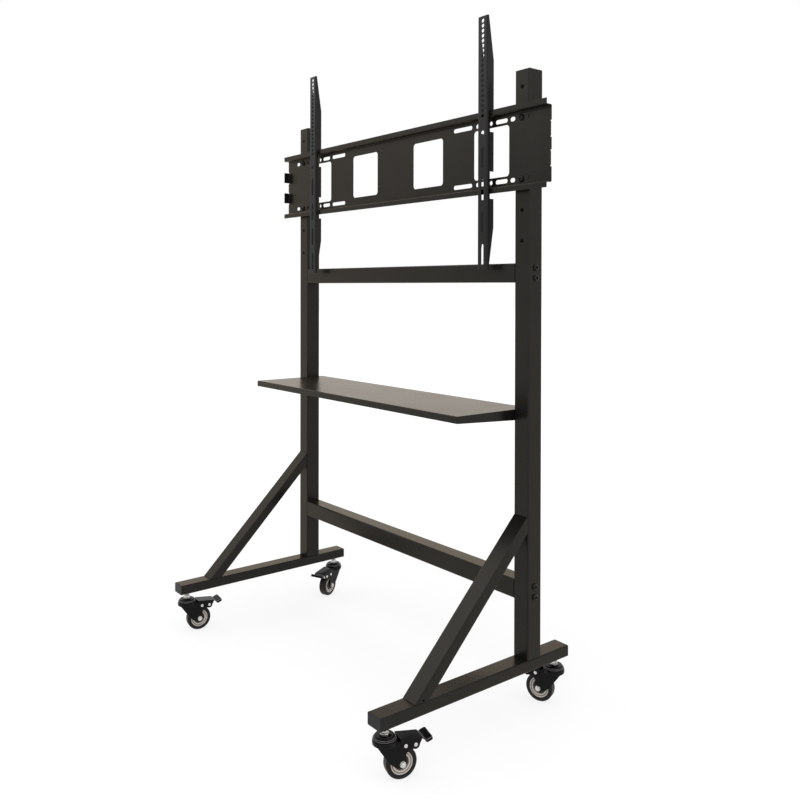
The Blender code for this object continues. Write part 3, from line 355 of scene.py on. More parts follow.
def new_tree(name, inputs):
    """A geometry tree with named inputs, and its input and output nodes."""
    tree = bpy.data.node_groups.new(name, "GeometryNodeTree")
    for label, kind, value in inputs:
        socket = tree.interface.new_socket(label, in_out="INPUT", socket_type="NodeSocket" + kind)
        if value is not None:
            socket.default_value = value
    tree.interface.new_socket("Made", in_out="OUTPUT", socket_type="NodeSocketGeometry")
    return tree, tree.nodes.new("NodeGroupInput"), tree.nodes.new("NodeGroupOutput")


def run_tree(item, tree, values):
    """Run a geometry tree on an object and keep what it makes as a plain mesh."""
    modifier = item.modifiers.new(tree.name, "NODES")
    modifier.node_group = tree
    for socket in tree.interface.items_tree:
        if socket.in_out == "INPUT" and socket.name in values:
            modifier[socket.identifier] = values[socket.name]
    return settle(item)


def round_row_tree():
    """A row of round bars, which cut a row of round holes."""
    tree, given, made = new_tree("round_row", (
        ("Start", "Vector", (0.0, 0.0, 0.0)), ("Pitch", "Vector", (0.0, 0.0, -0.01)), ("Count", "Int", 6),
        ("Radius", "Float", 0.005), ("Length", "Float", 0.01), ("Finish", "Material", None)))
    line = tree.nodes.new("GeometryNodeMeshLine")
    bar = tree.nodes.new("GeometryNodeMeshCylinder")
    bar.inputs["Vertices"].default_value = HOLE_SIDES
    copies = tree.nodes.new("GeometryNodeInstanceOnPoints")
    copies.inputs["Rotation"].default_value = (math.pi / 2, 0.0, 0.0)
    real = tree.nodes.new("GeometryNodeRealizeInstances")
    finish = tree.nodes.new("GeometryNodeSetMaterial")
    for source, target in (
        (given.outputs["Start"], line.inputs["Start Location"]),
        (given.outputs["Pitch"], line.inputs["Offset"]), (given.outputs["Count"], line.inputs["Count"]),
        (given.outputs["Radius"], bar.inputs["Radius"]), (given.outputs["Length"], bar.inputs["Depth"]),
        (line.outputs["Mesh"], copies.inputs["Points"]), (bar.outputs["Mesh"], copies.inputs["Instance"]),
        (copies.outputs["Instances"], real.inputs[0]), (real.outputs[0], finish.inputs["Geometry"]),
        (given.outputs["Finish"], finish.inputs["Material"]), (finish.outputs[0], made.inputs[0]),
    ):
        tree.links.new(source, target)
    return tree


ROUND_ROW = round_row_tree()
coat = powder_coat("black_coat", COAT_DARK, COAT_LIGHT, COAT_ROUGH,
                   **{"Metallic": COAT_METAL, "Specular Tint": COAT_SHEEN})


def round_row(start, pitch, count, radius, length):
    """Bars that run along Y, in a row that goes down from a point."""
    item = mesh_object("row", bmesh.new())
    return run_tree(item, ROUND_ROW, {"Start": start, "Pitch": (0.0, 0.0, -pitch), "Count": count,
                                      "Radius": radius, "Length": length, "Finish": coat})


def stamp_tree():
    """Copies of one small part on every point of a mesh, each turned to its point's aim."""
    tree, given, made = new_tree("stamped_copies", (
        ("Points", "Geometry", None), ("Part", "Object", None), ("Size", "Float", 1.0),
        ("Finish", "Material", None)))
    part = tree.nodes.new("GeometryNodeObjectInfo")
    aim = tree.nodes.new("GeometryNodeInputNamedAttribute")
    aim.data_type = "FLOAT_VECTOR"
    aim.inputs["Name"].default_value = "aim"
    turn = tree.nodes.new("FunctionNodeAlignRotationToVector")
    turn.axis = "Z"
    copies = tree.nodes.new("GeometryNodeInstanceOnPoints")
    real = tree.nodes.new("GeometryNodeRealizeInstances")
    finish = tree.nodes.new("GeometryNodeSetMaterial")
    for source, target in (
        (given.outputs["Points"], copies.inputs["Points"]), (given.outputs["Part"], part.inputs["Object"]),
        (part.outputs["Geometry"], copies.inputs["Instance"]),
        (given.outputs["Size"], copies.inputs["Scale"]), (aim.outputs["Attribute"], turn.inputs["Vector"]),
        (turn.outputs["Rotation"], copies.inputs["Rotation"]),
        (copies.outputs["Instances"], real.inputs[0]), (real.outputs[0], finish.inputs["Geometry"]),
        (given.outputs["Finish"], finish.inputs["Material"]), (finish.outputs[0], made.inputs[0]),
    ):
        tree.links.new(source, target)
    return tree


STAMPED = stamp_tree()


def stamp(name, part, places, material, size=1.0):
    """Copies of a part at (point, direction) places, as one plain mesh."""
    mesh = bpy.data.meshes.new(name)
    mesh.from_pydata([tuple(point) for point, _ in places], [], [])
    aims = mesh.attributes.new("aim", "FLOAT_VECTOR", "POINT")
    for index, (_, direction) in enumerate(places):
        aims.data[index].vector = direction
    item = bpy.data.objects.new(name, mesh)
    scene.collection.objects.link(item)
    return run_tree(item, STAMPED, {"Part": part, "Size": size, "Finish": material})


def turned(profile, sides=48, closed=False, matrix=None, bm=None):
    """Turn a profile of (radius, height) points about the Z axis."""
    matrix = matrix or Matrix()
    rings = [[matrix @ Vector((a, b, height)) for a, b in arc((0.0, 0.0), radius, 0, 360, sides)[:-1]]
             for radius, height in profile]
    return skin(bm or bmesh.new(), rings, closed)


# The sleeve's outline, as radius and height below the tube's face: a wall and its thread.
SLEEVE = [(0.0052, -0.001), (0.0069, -0.001), (0.0069, -0.013), (0.0050, -0.013), (0.0050, -0.006),
          (0.0046, -0.0055), (0.0050, -0.005), (0.0046, -0.0045), (0.0050, -0.004), (0.0046, -0.0035),
          (0.0050, -0.003)]
sleeve = mesh_object("insert_sleeve", turned(SLEEVE, 24, closed=True))
for word in ("left", "right"):
    low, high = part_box("post_" + word)
    middle = (low + high) / 2
    first = (middle.x, low.y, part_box("post_cap_" + word)[1].z - INSERT_DROP)
    row = round_row(first, INSERT_PITCH, INSERT_COUNT, INSERT_HOLE, 3 * TUBE_WALL)
    tube = steel_tube("Z", high.x - low.x, high.y - low.y, middle.xy, low.z, high.z)
    dress(shape("post_tube_" + word, tube, cuts=[row]), coat, "stand", "black_coat", "post_" + word)
    places = [((middle.x, low.y, first[2] - index * INSERT_PITCH), (0.0, -1.0, 0.0))
              for index in range(INSERT_COUNT)]
    inserts = stamp("post_inserts_" + word, sleeve, places, coat)
    dress(inserts, coat, "stand", "black_bolt")
bpy.data.objects.remove(sleeve, do_unlink=True)


# The foot rails: flat steel tube laid on its wide side, coated like the posts. A caster
# stem is screwed up into each end.
for word in ("left", "right"):
    low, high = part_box("foot_rail_" + word)
    cap_low, cap_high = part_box("rail_cap_front_" + word)
    centre = ((cap_low.x + cap_high.x) / 2, (cap_low.z + cap_high.z) / 2)
    tube = steel_tube("Y", cap_high.x - cap_low.x, cap_high.z - cap_low.z, centre, low.y, high.y)
    dress(shape("rail_tube_" + word, tube), coat, "stand", "black_coat", "foot_rail_" + word)


# The braces: flat steel tube at 45 degrees, coated, cut to the rail's top and the post's
# front so that each lies flush on both. A small drain hole sits low on the outer side.
BRACE_THICKNESS = 0.030
BRACE_RUN = (0.0, 0.370, 0.368)
VENT_RADIUS = 0.0030
VENT_PLACE = (0.0235, 0.0046)
for word in ("left", "right"):
    low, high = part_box("brace_" + word)
    run = Vector(BRACE_RUN).normalized()
    square = Vector((0.0, run.z, -run.y))
    foot = Vector(((low.x + high.x) / 2, low.y, low.z))
    rings = []
    for grow, face in ((0.0, "foot"), (0.0, "head"), (TUBE_WALL, "head"), (TUBE_WALL, "foot")):
        ring = []
        outline = rounded_box(high.x - low.x - 2 * grow, BRACE_THICKNESS - 2 * grow, TUBE_CORNER - grow)
        for a, b in outline:
            start = foot + Vector((a, 0.0, 0.0)) + square * (BRACE_THICKNESS / 2 + b)
            if face == "foot":
                ring.append(start + run * ((low.z - start.z) / run.z))
            else:
                ring.append(start + run * ((high.y - start.y) / run.y))
        rings.append(ring)
    outer_x = high.x if word == "right" else low.x
    hole = arc((low.y + VENT_PLACE[0], low.z + VENT_PLACE[1]), VENT_RADIUS, 0, 360, 20)[:-1]
    vent = prism(hole, "X", outer_x - 1.5 * TUBE_WALL, outer_x + 1.5 * TUBE_WALL)
    brace = shape("brace_tube_" + word, skin(bmesh.new(), rings, closed=True), cuts=[vent])
    dress(brace, coat, "stand", "black_coat", "brace_" + word)


# The crossbeams: square steel tube between the posts, coated like them. Each end is drawn
# against its post by two bolts that run through the post.
for node in ("upper_beam", "lower_beam"):
    low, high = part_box(node)
    centre = ((low.y + high.y) / 2, (low.z + high.z) / 2)
    tube = steel_tube("X", high.y - low.y, high.z - low.z, centre, low.x, high.x)
    dress(shape(node + "_tube", tube), coat, "stand", "black_coat", node)


# The end caps: moulded black plastic, a low domed flange over the tube's end and a plug
# pressed inside it.
CAP_FLANGE = 0.0025
CAP_DOME = ((0.0, 0.0012), (0.0006, 0.0004), (0.0016, 0.0))
CAP_PLUG_GAP = 0.0003
CAP_PLUG_LENGTH = 0.012
CAP_DARK = (0.0085, 0.0082, 0.0078)
CAP_LIGHT = (0.0125, 0.0120, 0.0112)
cap_plastic = powder_coat("cap_plastic", CAP_DARK, CAP_LIGHT, 0.42, peel=0.16)


def cap_piece(name, node, axis, outward):
    low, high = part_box(node)
    middle = (low + high) / 2
    if axis == "Z":
        width, height, centre = high.x - low.x, high.y - low.y, (middle.x, middle.y)
        face = high.z
    else:
        width, height, centre = high.x - low.x, high.z - low.z, (middle.x, middle.z)
        face = low.y if outward < 0 else high.y
    neck = face - outward * CAP_FLANGE
    inside = 2 * (TUBE_WALL + CAP_PLUG_GAP)
    plug = rounded_box(width - inside, height - inside, TUBE_CORNER - TUBE_WALL, centre)
    rings = [(plug, neck - outward * CAP_PLUG_LENGTH), (plug, neck)]
    for draw, along in [(0.0, neck)] + [(draw, face - outward * drop) for draw, drop in CAP_DOME]:
        rings.append((rounded_box(width - 2 * draw, height - 2 * draw, TUBE_CORNER - draw, centre), along))
    cap = skin(bmesh.new(), [[place(axis, a, b, along) for a, b in ring] for ring, along in rings])
    dress(mesh_object(name, cap), cap_plastic, "stand", "black_plastic", node)


for word in ("left", "right"):
    cap_piece("post_end_cap_" + word, "post_cap_" + word, "Z", 1)
    cap_piece("rail_end_cap_front_" + word, "rail_cap_front_" + word, "Y", -1)
    cap_piece("rail_end_cap_rear_" + word, "rail_cap_rear_" + word, "Y", 1)


# The shelf: one coated steel sheet folded down all round into a shallow lip, which grows
# into deeper flanges where it is bolted between the posts.
SHELF_SHEET = 0.002
SHELF_BEND = 0.0025
SHELF_INNER_BEND = 0.001
SHELF_BEND_STEPS = 5
SHELF_LEAST_CORNER = 0.0005
SHELF_LIP = 0.018
SHELF_FLANGE = 0.028
SHELF_PLAY = 0.0003
low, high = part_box("shelf")
post_low, post_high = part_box("post_left")
shelf_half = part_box("post_right")[0].x - SHELF_PLAY


def shelf_plan(inset):
    half, front, rear = shelf_half - inset, low.y + inset, high.y - inset
    corner = max(SHELF_BEND - inset, SHELF_LEAST_CORNER)
    side = [(half, post_low.y), (half, post_high.y)]
    return (arc((half - corner, front + corner), corner, -90, 0, 4) + side
            + arc((half - corner, rear - corner), corner, 0, 90, 4)
            + arc((-half + corner, rear - corner), corner, 90, 180, 4) + [(-a, b) for a, b in side[::-1]]
            + arc((-half + corner, front + corner), corner, 180, 270, 4))


def shelf_edge(y):
    rise = min(1.0, (y - low.y) / (post_low.y - low.y), (high.y - y) / (high.y - post_high.y))
    return high.z - SHELF_LIP - (SHELF_FLANGE - SHELF_LIP) * max(rise, 0.0)


rings = []
for step in range(SHELF_BEND_STEPS + 1):
    angle = math.radians(90 * step / SHELF_BEND_STEPS)
    inset, drop = SHELF_BEND * (1 - math.sin(angle)), SHELF_BEND * (1 - math.cos(angle))
    rings.append([Vector((x, y, high.z - drop)) for x, y in shelf_plan(inset)])
rings.append([Vector((x, y, shelf_edge(y))) for x, y in shelf_plan(0.0)])
rings.append([Vector((x, y, shelf_edge(y))) for x, y in shelf_plan(SHELF_SHEET)])
rings.append([Vector((x, y, high.z - SHELF_BEND - SHELF_INNER_BEND)) for x, y in shelf_plan(SHELF_SHEET)])
rings.append([Vector((x, y, high.z - SHELF_SHEET)) for x, y in shelf_plan(SHELF_SHEET + SHELF_INNER_BEND)])
shelf = mesh_object("shelf_tray", skin(bmesh.new(), rings), sharp=34.0)
dress(shelf, coat, "stand", "black_coat", "shelf")


# The wall plate: a long coated steel sheet with four windows and two rows of slots. Both
# long edges are folded into lips, and two lugs are bent forward at each end.
PLATE_SHEET = 0.002
PLATE_BEND = 0.0015
PLATE_FOLD = 0.095
THIN_EDGE = 0.0003
WINDOW = (0.133, 0.134, 0.010)
WINDOW_CENTRES = (0.1545, 0.415)
SLOT_HEIGHT = 0.0115
SLOT_SPANS = ((0.266, 0.342), (0.356, 0.398), (0.409, 0.4205), (0.4315, 0.476), (0.485, 0.503),
              (0.547, 0.567))
LUG_SPREAD = 0.0365
LUG_HALF = 0.018
LUG_RELIEF = 0.003


def folded(path, thickness, bend, steps=6):
    """Closed outline of a folded sheet, from its middle line and its inner bend radius."""
    left, right_side = [], []
    middle = bend + thickness / 2
    for index, point in enumerate(path):
        here = Vector(point)
        before = (here - Vector(path[index - 1])).normalized() if index else None
        after = (Vector(path[index + 1]) - here).normalized() if index < len(path) - 1 else None
        if before is None or after is None:
            run = after or before
            side = Vector((-run.y, run.x)) * thickness / 2
            left.append(here + side)
            right_side.append(here - side)
            continue
        angle = math.atan2(before.x * after.y - before.y * after.x, before.dot(after))
        sign = math.copysign(1.0, angle)
        inward = Vector((-before.y, before.x)) * sign
        centre = here - before * middle * math.tan(abs(angle) / 2) + inward * middle
        for step in range(steps + 1):
            spoke = Matrix.Rotation(angle * step / steps, 2) @ -inward
            left.append(centre + spoke * (middle - sign * thickness / 2))
            right_side.append(centre + spoke * (middle + sign * thickness / 2))
    return [tuple(point) for point in left + right_side[::-1]]


def long_hole(length, height, centre, steps=10):
    """Outline of a slot with round ends."""
    radius, half = height / 2, max((length - height) / 2, 0.00001)
    return (arc((centre[0] + half, centre[1]), radius, -90, 90, steps)
            + arc((centre[0] - half, centre[1]), radius, 90, 270, steps))


low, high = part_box("wall_plate")
half = high.x
middle_z = (low.z + high.z) / 2
back_y, lip_y = high.y - PLATE_SHEET / 2, low.y + PLATE_SHEET / 2
path = [(lip_y, high.z), (lip_y, middle_z + PLATE_FOLD), (back_y, middle_z + PLATE_FOLD),
        (back_y, middle_z - PLATE_FOLD), (lip_y, middle_z - PLATE_FOLD), (lip_y, low.z)]
front_y, rear_y = back_y - 2 * PLATE_SHEET, back_y + 2 * PLATE_SHEET
holes, reliefs, lugs = bmesh.new(), bmesh.new(), bmesh.new()
notch = PLATE_SHEET + PLATE_BEND
for side in (-1, 1):
    for x in WINDOW_CENTRES:
        outline = rounded_box(*WINDOW, (side * x, middle_z))
        prism(outline, "Y", front_y, rear_y, holes)
    for rise in (-INSERT_PITCH, INSERT_PITCH):
        for start, end in SLOT_SPANS:
            outline = long_hole(end - start, SLOT_HEIGHT, (side * (start + end) / 2, middle_z + rise))
            prism(outline, "Y", front_y, rear_y, holes)
    for rise in (-LUG_SPREAD, LUG_SPREAD):
        lug_z, gap = middle_z + rise, LUG_HALF + LUG_RELIEF
        outline = [(side * (half - notch), lug_z - gap), (side * (half + notch), lug_z - gap),
                   (side * (half + notch), lug_z + gap), (side * (half - notch), lug_z + gap)]
        prism(outline, "Y", front_y, rear_y, reliefs)
        end_x = half - PLATE_SHEET / 2
        bend_path = [(side * (half - 2 * notch), back_y), (side * end_x, back_y), (side * end_x, low.y)]
        prism(folded(bend_path, PLATE_SHEET, PLATE_BEND), "Z", lug_z - LUG_HALF, lug_z + LUG_HALF, lugs)
sheet = prism(folded(path, PLATE_SHEET, PLATE_BEND), "X", -half, half)
cut = shape("plate_cut", sheet, cuts=[holes, reliefs], edge=0.0)
bm = bmesh.new()
bm.from_mesh(cut.data)
bpy.data.objects.remove(cut, do_unlink=True)
plate = shape("plate_sheet", bm, joins=[lugs], edge=THIN_EDGE)
dress(plate, coat, "stand", "black_coat", "wall_plate")


# The screen arms: folded steel channels, pierced in front for the screen's screws. Each
# hooks over the plate's upper lip and slides along it, with a notch past the lower lip.
ARM_SHEET = 0.002
ARM_BEND = 0.0025
ARM_TOP_TAPER = 0.118
ARM_BOTTOM_TAPER = 0.112
ARM_END_DEPTH = 0.0052
ARM_LIP_PLAY = 0.0013
LIP_SEAT = 0.0003
HOOK_DROP = 0.009
UPPER_NOTCH = 0.057
LOWER_NOTCH = 0.072
LOWER_NOTCH_BELOW = 0.013
ARM_DARK = (0.0060, 0.0054, 0.0048)
ARM_LIGHT = (0.0100, 0.0092, 0.0084)
# The row of holes: count, pitch, drop from the arm's top and radius. The single hole: drop
# and radius. The slots: count, pitch, drop, length and width.
ARM_HOLES = (20, 0.0132, 0.012, 0.005)
ARM_SINGLE = (0.308, 0.006)
ARM_SLOTS = (4, 0.0855, 0.374, 0.057, 0.009)
arm_coat = powder_coat("arm_coat", ARM_DARK, ARM_LIGHT, 0.30)
lip_low, lip_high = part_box("wall_plate")
for word in ("left", "right"):
    low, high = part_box("arm_" + word)
    x, face, back = (low.x + high.x) / 2, low.y, high.y
    notch_y = lip_low.y - ARM_LIP_PLAY
    hook_y = lip_low.y + PLATE_SHEET + ARM_LIP_PLAY
    hook_z, lower_z = lip_high.z + LIP_SEAT, lip_low.z - LOWER_NOTCH_BELOW
    side_view = [(face - ARM_SHEET, low.z), (face + ARM_END_DEPTH, low.z), (back, low.z + ARM_BOTTOM_TAPER),
                 (back, lower_z), (notch_y, lower_z), (notch_y, lower_z + LOWER_NOTCH),
                 (back, lower_z + LOWER_NOTCH), (back, hook_z - UPPER_NOTCH), (notch_y, hook_z - UPPER_NOTCH),
                 (notch_y, hook_z), (hook_y, hook_z), (hook_y, hook_z - HOOK_DROP),
                 (back, hook_z - HOOK_DROP), (back, high.z - ARM_TOP_TAPER), (face + ARM_END_DEPTH, high.z),
                 (face - ARM_SHEET, high.z)]
    side_x, deep = (high.x - low.x - ARM_SHEET) / 2, back + ARM_SHEET
    path = [(x - side_x, deep), (x - side_x, face + ARM_SHEET / 2), (x + side_x, face + ARM_SHEET / 2),
            (x + side_x, deep)]
    channel = prism(folded(path, ARM_SHEET, ARM_BEND), "Z", low.z - ARM_SHEET, high.z + ARM_SHEET)
    trim = prism(side_view, "X", low.x - ARM_SHEET, high.x + ARM_SHEET)
    count, pitch, drop, radius = ARM_HOLES
    row = round_row((x, face, high.z - drop), pitch, count, radius, 4 * ARM_SHEET)
    drop, radius = ARM_SINGLE
    single = round_row((x, face, high.z - drop), pitch, 1, radius, 4 * ARM_SHEET)
    slots = bmesh.new()
    count, pitch, drop, length, width = ARM_SLOTS
    for index in range(count):
        outline = [(b, a) for a, b in long_hole(length, width, (high.z - drop - index * pitch, x))]
        prism(outline, "Y", face - 2 * ARM_SHEET, face + 2 * ARM_SHEET, slots)
    arm = shape("arm_channel_" + word, channel, trims=[trim], cuts=[row, single, slots], edge=THIN_EDGE)
    dress(arm, arm_coat, "arm_" + word, "black_coat", "arm_" + word)


# The bolts: blackened steel with button heads and a hexagon socket. They hold the beams,
# braces and wall plate, and smaller ones hang the shelf from inside its flanges.
HEAD_RADIUS = 0.00875
HEAD_HEIGHT = 0.0055
HEAD_FLAT = 0.0045
HEAD_SIDE = 0.0008
SHANK_RADIUS = 0.005
SHANK_LENGTH = 0.012
SOCKET_FLATS = 0.006
SOCKET_DEPTH = 0.0032
BOLT_DARK = (0.0060, 0.0060, 0.0058)
BOLT_LIGHT = (0.0120, 0.0118, 0.0112)
bolt_black = powder_coat("bolt_black", BOLT_DARK, BOLT_LIGHT, 0.26, peel=0.05, Metallic=0.2)
dome = [(HEAD_RADIUS * math.cos(math.radians(a)) ** 0.6, HEAD_HEIGHT * math.sin(math.radians(a)))
        for a in (65, 50, 35, 20)]
profile = [(HEAD_FLAT, HEAD_HEIGHT)] + dome + [(HEAD_RADIUS, HEAD_SIDE), (HEAD_RADIUS, 0.0),
                                               (SHANK_RADIUS, 0.0), (SHANK_RADIUS, -SHANK_LENGTH)]
hexagon = arc((0.0, 0.0), SOCKET_FLATS / math.sqrt(3), 0, 360, 6)[:-1]
socket = prism(hexagon, "Z", HEAD_HEIGHT - SOCKET_DEPTH, HEAD_HEIGHT + 0.001)
button = shape("button_bolt", turned(profile, 40), cuts=[socket], edge=0.0)


def head_place(node, axis, outward):
    """Where a bolt's head sits, from its node's box."""
    low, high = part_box(node)
    point = (low + high) / 2
    along = "XYZ".index(axis)
    point[along] = (high[along] if outward > 0 else low[along]) - outward * HEAD_HEIGHT
    direction = Vector((0.0, 0.0, 0.0))
    direction[along] = outward
    return point, direction


places, nodes = [], []
for side, word in ((-1, "left"), (1, "right")):
    for beam in ("upper", "lower"):
        for row_word in ("top", "bottom"):
            nodes.append(f"{beam}_beam_bolt_{row_word}_{word}")
            places.append(head_place(nodes[-1], "X", side))
    nodes.append("brace_bolt_" + word)
    places.append(head_place(nodes[-1], "Y", 1))
    for row_word in ("top", "bottom"):
        nodes.append(f"wall_plate_bolt_{row_word}_{word}")
        places.append(head_place(nodes[-1], "Y", -1))
bolts = stamp("frame_bolts", button, places, bolt_black)
dress(bolts, bolt_black, "stand", "black_bolt", *nodes)

RAIL_BOLT_Y = (-0.192787, 0.169, 0.193)
places = []
for word in ("left", "right"):
    rail_low, rail_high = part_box("rail_cap_front_" + word)
    for y in RAIL_BOLT_Y:
        places.append((((rail_low.x + rail_high.x) / 2, y, rail_low.z), (0.0, 0.0, -1.0)))
dress(stamp("rail_bolts", button, places, bolt_black), bolt_black, "stand", "black_bolt")

SHELF_BOLT_DROP = 0.014
SHELF_BOLT_Y = (0.169, 0.193)
SHELF_BOLT_SIZE = 0.8
shelf_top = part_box("shelf")[1].z
places = [((side * (shelf_half - SHELF_SHEET), y, shelf_top - SHELF_BOLT_DROP), (-side, 0.0, 0.0))
          for side in (-1, 1) for y in SHELF_BOLT_Y]
bolts = stamp("shelf_bolts", button, places, bolt_black, SHELF_BOLT_SIZE)
dress(bolts, bolt_black, "stand", "black_bolt")
bpy.data.objects.remove(button, do_unlink=True)


# The caster stems: a zinc plated steel stud with rolled thread, a hexagon collar and a
# washer, over a pressed black cup which covers the ball race. Pale painted highlights ring two of its edges.
CASTERS = ("front_left", "front_right", "rear_left", "rear_right")
ZINC_DARK = (0.46, 0.455, 0.44)
ZINC_LIGHT = (0.74, 0.73, 0.70)
GRAIN_DEPTH = 0.0001
COLLAR_FOOT, COLLAR_TOP = 0.1061, 0.1157
COLLAR_FLATS = 0.017
WASHER = 0.0012
STUD_RADIUS = 0.005
STUD_REACH = 0.018
# One turn of the thread, as depth and share of its pitch.
THREAD_PITCH = 0.0015
THREAD_TURN = ((0.0, 0.0), (0.0, 0.25), (0.0007, 0.55), (0.0007, 0.7))
# The cup, and the two rings of painted highlight on its edges, as radius and height over the cup's foot.
CUP_FOOT = 0.0958
CUP = ((0.0063, 0.0), (0.0266, 0.0), (0.0270, 0.0004), (0.0270, 0.0022), (0.0267, 0.0026), (0.0256, 0.0027),
       (0.0253, 0.0030), (0.0252, 0.0046), (0.0248, 0.0052), (0.0238, 0.0054), (0.0235, 0.0058),
       (0.0232, 0.0072), (0.0224, 0.0084), (0.0210, 0.0089), (0.0196, 0.0089), (0.0192, 0.0086),
       (0.0166, 0.0086), (0.0160, 0.0092), (0.0150, 0.0098), (0.0142, 0.0100), (0.0110, 0.0100),
       (0.0104, 0.0094), (0.0063, 0.0094))
PAINTED_HIGHLIGHT_RINGS = (((0.0266, 0.0018), (0.0271, 0.0019), (0.0271, 0.0023), (0.0268, 0.0027), (0.0263, 0.0028),
               (0.0262, 0.0024)),
              ((0.0248, 0.0044), (0.0253, 0.0045), (0.0249, 0.0053), (0.0243, 0.0054), (0.0242, 0.0050)))
CUP_DARK = (0.0020, 0.0018, 0.0016)
CUP_LIGHT = (0.0042, 0.0038, 0.0035)
# Tones of the pale painted highlights on the cup's edges and on the pedal.
PAINTED_HIGHLIGHT_DARK = (0.10, 0.097, 0.092)
PAINTED_HIGHLIGHT_LIGHT = (0.18, 0.174, 0.165)
joints = {joint["child"]: joint for joint in frame["joints"]}


def caster_matrix(caster):
    """Where a caster stands and which way it trails, from its swivel and wheel joints."""
    x, y, _ = joints["swivel_" + caster]["pos_m"]
    axis = joints["wheel_" + caster]["axis"]
    return Matrix.Translation((x, y, 0.0)) @ Matrix.Rotation(math.atan2(-axis[0], axis[1]), 4, "Z")


def each_caster(pattern, kind, material, body, slot_name, *nodes):
    """Set one finished part into all four casters, and clear the pattern away."""
    for caster in CASTERS:
        mesh = pattern.data.copy()
        mesh.transform(caster_matrix(caster))
        item = bpy.data.objects.new(f"{kind}_{caster}", mesh)
        scene.collection.objects.link(item)
        body_name = body if body == "stand" else f"{body}_{caster}"
        dress(item, material, body_name, slot_name, *[f"{node}_{caster}" for node in nodes])
    bpy.data.objects.remove(pattern, do_unlink=True)


def zinc_plate(name, dark, light, rough):
    """Bright zinc: metal with faint cloudy patches and fine brushed grain."""
    material, wire = new_finish(name)
    cloud = wire.speckle(160.0, 3.0)
    grain = wire.speckle(2400.0, 2.0)
    tone = (cloud * 0.8 + grain * 0.2).blend(dark, light)
    gloss = rough + (cloud - 0.5) * 0.16
    return set_finish(material, tone, gloss, grain.bump(0.08, GRAIN_DEPTH), {"Metallic": 1.0})


zinc = zinc_plate("zinc", ZINC_DARK, ZINC_LIGHT, 0.26)
rail_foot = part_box("rail_cap_front_left")[0].z
profile = [(0.0095, 0.0797), (0.0095, 0.0847), (0.006, 0.0847), (0.006, COLLAR_FOOT), (0.0105, COLLAR_FOOT),
           (0.0105, COLLAR_FOOT + WASHER), (0.0101, COLLAR_FOOT + 0.0016),
           (STUD_RADIUS, COLLAR_FOOT + 0.0016)]
height = COLLAR_TOP
while height < rail_foot + STUD_REACH:
    profile += [(STUD_RADIUS - depth, height + THREAD_PITCH * share) for depth, share in THREAD_TURN]
    height += THREAD_PITCH
hexagon = arc((0.0, 0.0), COLLAR_FLATS / math.sqrt(3), 12, 372, 6)[:-1]
chamfer = turned([(0.0084, COLLAR_FOOT), (0.0099, COLLAR_FOOT + 0.0026), (0.0099, COLLAR_TOP - 0.0012),
                  (0.0084, COLLAR_TOP)], 48)
collar = shape("collar", prism(hexagon, "Z", COLLAR_FOOT + WASHER, COLLAR_TOP), trims=[chamfer], edge=0.0)
stem = shape("stem", turned(profile, 32), joins=[collar], edge=0.0)
each_caster(stem, "stem_stud", zinc, "stand", "bright_zinc", "stem")

cup_coat = powder_coat("caster_coat", CUP_DARK, CUP_LIGHT, 0.18, peel=0.06, IOR=1.22)
profile = [(radius, CUP_FOOT + height) for radius, height in CUP]
cup = mesh_object("cup", turned(profile, 56, closed=True), sharp=40.0)
each_caster(cup, "race_cup", cup_coat, "stand", "black_coat")
# Thin pale rings laid on two of the cup's edges, as painted highlights.
worn_edge = powder_coat("worn_edge", PAINTED_HIGHLIGHT_DARK, PAINTED_HIGHLIGHT_LIGHT, 0.34, peel=0.05)
worn = bmesh.new()
for outline in PAINTED_HIGHLIGHT_RINGS:
    turned([(radius, CUP_FOOT + height) for radius, height in outline], 56, closed=True, bm=worn)
each_caster(mesh_object("worn", worn, sharp=40.0), "cup_edge_rings", worn_edge, "stand", "black_coat")


# The forks: pressed steel, black, with a round crown over the race and two cheeks that
# narrow to round bosses at the axle. The pedal's rivet runs through both cheeks.
TRAIL = 0.0375
WHEEL_RADIUS = 0.0375
CROWN = (0.0285, 0.0850, 0.0955)
CHEEK_INNER, CHEEK_OUTER = 0.0139, 0.0169
CHEEK_BOSS = 0.0105
# The cheek's corners over and behind its boss, then those before it: x, height, radius.
CHEEK_BACK = [(0.0540, 0.0829, 0.006), (0.0257, 0.0902, 0.003), (-0.0225, 0.0902, 0.0),
              (-0.0225, 0.0852, 0.0), (-0.0105, 0.0675, 0.012), (0.0075, 0.0435, 0.012),
              (0.0180, 0.0345, 0.006)]
CHEEK_FRONT = [(0.0460, 0.0600, 0.006), (0.0540, 0.0660, 0.004)]
FORK_EDGE = 0.0005
PEDAL_PIVOT = (0.0444, 0.0784)
RIVET_HALF = 0.0196
PIN_RADIUS = 0.0025
PIN_HEAD_RADIUS, PIN_HEAD = 0.0045, 0.0017


def soft_corners(points, steps=6):
    """Closed outline of (x, y, radius) corners, each rounded as far as its sides allow."""
    made = []
    for index, (x, y, radius) in enumerate(points):
        here = Vector((x, y))
        back_way = Vector(points[index - 1][:2]) - here
        on_way = Vector(points[(index + 1) % len(points)][:2]) - here
        reach = min(radius, back_way.length * 0.45, on_way.length * 0.45)
        if reach == 0.0:
            made.append((x, y))
            continue
        start, end = here + back_way.normalized() * reach, here + on_way.normalized() * reach
        for step in range(steps + 1):
            t = step / steps
            made.append(tuple(start.lerp(here, t).lerp(here.lerp(end, t), t)))
    return made


